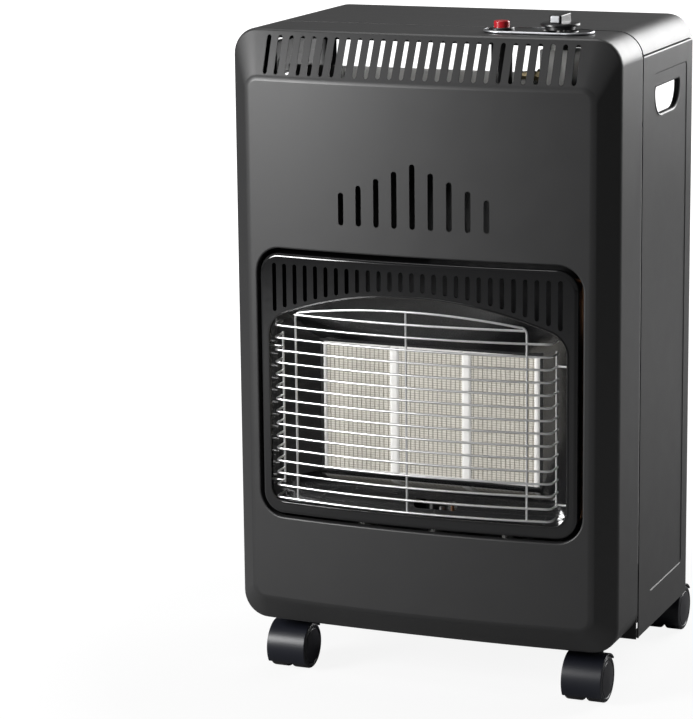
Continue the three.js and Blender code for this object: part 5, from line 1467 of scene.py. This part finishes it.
# %% Castors
WHEEL_RADIUS = 24.7
WHEEL_WIDTH = 19.5
WEB_HALF = 2.5
CASTOR_HALF = WEB_HALF + 0.3 + WHEEL_WIDTH
COVER_INNER = WHEEL_RADIUS + 0.6
COVER_OUTER = COVER_INNER + 2.2
COVER_START = math.radians(42)
COVER_END = math.radians(214)
CASTOR_OFFSET = 19.0
CASTOR_TOP = 57.2
BOSS_RADIUS = 10.0
REAR_CASTOR_X = 172.0
REAR_CASTOR_Y = 329.0


def castor_moulding(x, y):
    centre = (y - CASTOR_OFFSET, WHEEL_RADIUS)
    half = CASTOR_HALF - 0.5
    band = round_points(centre, COVER_OUTER, COVER_START, COVER_END)
    band += round_points(centre, COVER_INNER, COVER_END, COVER_START)
    cover = softened(prism("cover", band, "x", x - half, x + half), 0.9, 50.0, 3)
    disc = prism("web", circle(centre, COVER_INNER + 0.5), "x", x - WEB_HALF, x + WEB_HALF)
    cut(disc, box("floor_gap", (x - 9, y - 90, -9), (x + 9, y + 50, 7)))
    low, high = WHEEL_RADIUS + 9, CASTOR_TOP
    profile = [(0, low), (BOSS_RADIUS, low), (BOSS_RADIUS, high - 0.8), (BOSS_RADIUS - 0.8, high), (0, high)]
    boss = turned("boss", profile, (x, y, 0), "z", 40)
    cut(boss, drill("wheel_room", COVER_INNER, -40, 40, (x, *centre), "x"))
    return merged("castor_moulding", [cover, softened(disc, 0.4, 50.0, 1), boss])


def wheel_moulding(x, y, side):
    """A wheel with a rounded tread, a stepped outer face and a shallow dome in its middle."""
    r, inner, outer = WHEEL_RADIUS, WEB_HALF + 0.3, CASTOR_HALF
    profile = [(0, inner), (r - 2, inner)]
    profile += [(r - 2 * (1 - math.sin(a)), inner + 2 * (1 - math.cos(a))) for a in arc(4)]
    profile += [(r - 3 * (1 - math.cos(a)), outer - 3.6 + 2.8 * math.sin(a)) for a in arc(6)]
    groove = [(4.2, 0.9), (4.8, 1.5), (5.6, 1.5), (6.2, 0.8)]
    profile += [(r - inset, outer - depth) for inset, depth in groove]
    profile += [(r * 0.45, outer), (3.0, outer + 0.4), (0, outer + 0.5)]
    centre = (x, y - CASTOR_OFFSET, WHEEL_RADIUS)
    return turned("wheel", [(radius, side * along) for radius, along in profile], centre, "x")


CASTOR_PLACES = {
    "front_left": (-FRONT_CASTOR_X, FRONT_CASTOR_Y),
    "front_right": (FRONT_CASTOR_X, FRONT_CASTOR_Y),
    "rear_left": (-REAR_CASTOR_X, REAR_CASTOR_Y),
    "rear_right": (REAR_CASTOR_X, REAR_CASTOR_Y),
}
for corner, (x, y) in CASTOR_PLACES.items():
    node = "castor_housing_" + corner
    moulding = smooth(castor_moulding(x, y), 35.0)
    moulding.name = node + "_moulding"
    finished(moulding, castor_plastic, body_of[node], "black_plastic", node)
    for letter, side in (("a", -1), ("b", 1)):
        node = f"wheel_{corner}_{letter}"
        wheel = smooth(wheel_moulding(x, y, side), 35.0)
        wheel.name = node + "_moulding"
        finished(wheel, castor_wheel, body_of[node], "castor_wheel", node)

# %% [markdown]
# ## Everything else that the CAD model makes
#
# The hidden and the plain parts keep their CAD shapes. The ones that can be seen get their edges
# rounded and their curves shaded smoothly, on a copy, and the rest take a finish as they are.

# %% Carried-over parts
FINISH_OF_SLOT = {
    "cabinet_paint": cabinet_paint,
    "chassis_paint": chassis_paint,
    "enamel": enamel,
    "chrome_wire": chrome_wire,
    "zinc_steel": zinc_steel,
    "brass": brass,
    "copper": copper,
    "ceramic": ceramic,
    "fibre": fibre,
    "black_plastic": black_plastic,
    "castor_wheel": castor_wheel,
    "red_plastic": red_plastic,
}
EDGE_OF_NODE = {
    "rear_chassis": 0.3,
    "base_tray": 0.4,
    "gas_valve": 0.5,
    "gas_manifold": 0.0,
    "valve_spindle": 0.0,
    "plaque_retainer": 0.2,
    "burner_housing": 0.3,
    "inlet_nozzle": 0.2,
    "pilot_bracket": 0.2,
    "pilot_burner": 0.2,
}
FINISH_OF_NODE = {
    "plaque_retainer": enamel,
    "valve_spindle": zinc_steel,
    "gas_valve": zinc_steel,
    "pilot_burner": zinc_steel,
}


def smoothed_copy(node, radius):
    """A copy of a CAD node with rounded edges and smooth curves, in the node's own place."""
    piece = linked(node + "_finished", frame["nodes"][node].data.copy())
    work = bmesh.new()
    work.from_mesh(piece.data)
    bmesh.ops.remove_doubles(work, verts=work.verts, dist=0.00001)
    bmesh.ops.dissolve_limit(work, angle_limit=math.radians(1.0), verts=work.verts, edges=work.edges)
    work.to_mesh(piece.data)
    work.free()
    if radius:
        softened(piece, radius)
    slot = slot_of[node]
    return finished(smooth(piece), FINISH_OF_NODE.get(node, FINISH_OF_SLOT[slot]), body_of[node], slot, node)


for node, radius in EDGE_OF_NODE.items():
    smoothed_copy(node, radius)
for node, solid in frame["nodes"].items():
    if not solid.hide_render:
        solid.data.materials.clear()
        solid.data.materials.append(FINISH_OF_SLOT[slot_of[node]])

# %% [markdown]
# ## Floor and light
#
# The heater stands on a plain pale floor in front of white. A soft light from the left models the
# shell. A larger one stands behind on the right, where the side and the rounded corner of the hood
# mirror it, and a weak one hangs above the hood. The room gives the rest.

# %% Stage
def stage_finish():
    """A pale matt floor that takes the shadow, and turns into the backdrop further off."""
    pale = bpy.data.materials.new("pale_floor")
    pale.use_nodes = True
    graph = Graph(pale.node_tree)
    where = graph.node("ShaderNodeTexCoord", output="Object")
    away = graph.node("ShaderNodeVectorMath", {"operation": "LENGTH"}, {0: where}, output="Value")
    fade = graph.node("ShaderNodeMapRange", None, {"Value": away, 1: 0.4, 2: 2.0, 3: 0.66, 4: 1.0})
    diffuse = graph.node("ShaderNodeBsdfDiffuse", None, {"Color": (0.22, 0.22, 0.22, 1.0)})
    white = graph.node("ShaderNodeEmission", None, {"Color": (1.0, 1.0, 1.0, 1.0), "Strength": 1.36})
    rays = graph.node("ShaderNodeLightPath", output="Is Camera Ray")
    both = graph.node("ShaderNodeMixShader", None, {0: rays * fade, 1: diffuse, 2: white})
    graph.node("ShaderNodeOutputMaterial", None, {0: both})
    return pale


def white_world():
    world = bpy.data.worlds.new("studio")
    world.use_nodes = True
    bpy.context.scene.world = world
    graph = Graph(world.node_tree)
    seen = graph.node("ShaderNodeLightPath", output="Is Camera Ray")
    room = graph.node("ShaderNodeBackground", None, {"Color": (1, 1, 1, 1), "Strength": 0.125})
    backdrop = graph.node("ShaderNodeBackground", None, {"Color": (1, 1, 1, 1), "Strength": 1.0})
    both = graph.node("ShaderNodeMixShader", None, {0: seen, 1: room, 2: backdrop})
    graph.node("ShaderNodeOutputWorld", None, {0: both})


def soft_light(name, at, aim, size, power):
    lamp = bpy.data.lights.new(name, "AREA")
    lamp.shape = "RECTANGLE"
    lamp.size, lamp.size_y = size
    lamp.energy = power
    made = bpy.data.objects.new(name, lamp)
    bpy.context.scene.collection.objects.link(made)
    made.location = at
    made.rotation_euler = (Vector(aim) - Vector(at)).to_track_quat("-Z", "Y").to_euler()
    made.visible_camera = False
    return made


floor = mesh_of("floor", [(-9, -9, 0), (9, -9, 0), (9, 9, 0), (-9, 9, 0)], [(0, 1, 2, 3)], millimetres=False)
floor.data.materials.append(stage_finish())
white_world()
soft_light("key", (-1.5, -1.8, 1.05), (0, 0, 0.5), (0.8, 0.8), 74.0)
soft_light("side", (1.2, 2.0, 1.35), (0.2, 0, 0.6), (2.0, 1.6), 92.0)
soft_light("top", (-0.4, 0.2, 2.4), (0, 0, 0.6), (1.2, 1.0), 14.0)

# %% [markdown]
# ## Hand over
#
# The view transform is Standard, so a finish shows as it is written. The faces of the pieces that
# are shown are counted.

# %% Faces shown and the end
bpy.context.scene.view_settings.view_transform = "Standard"
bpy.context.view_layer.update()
shown = [piece for piece in bpy.data.objects if piece.type == "MESH" and not piece.hide_render]
print("faces shown:", sum(len(piece.data.polygons) for piece in shown))
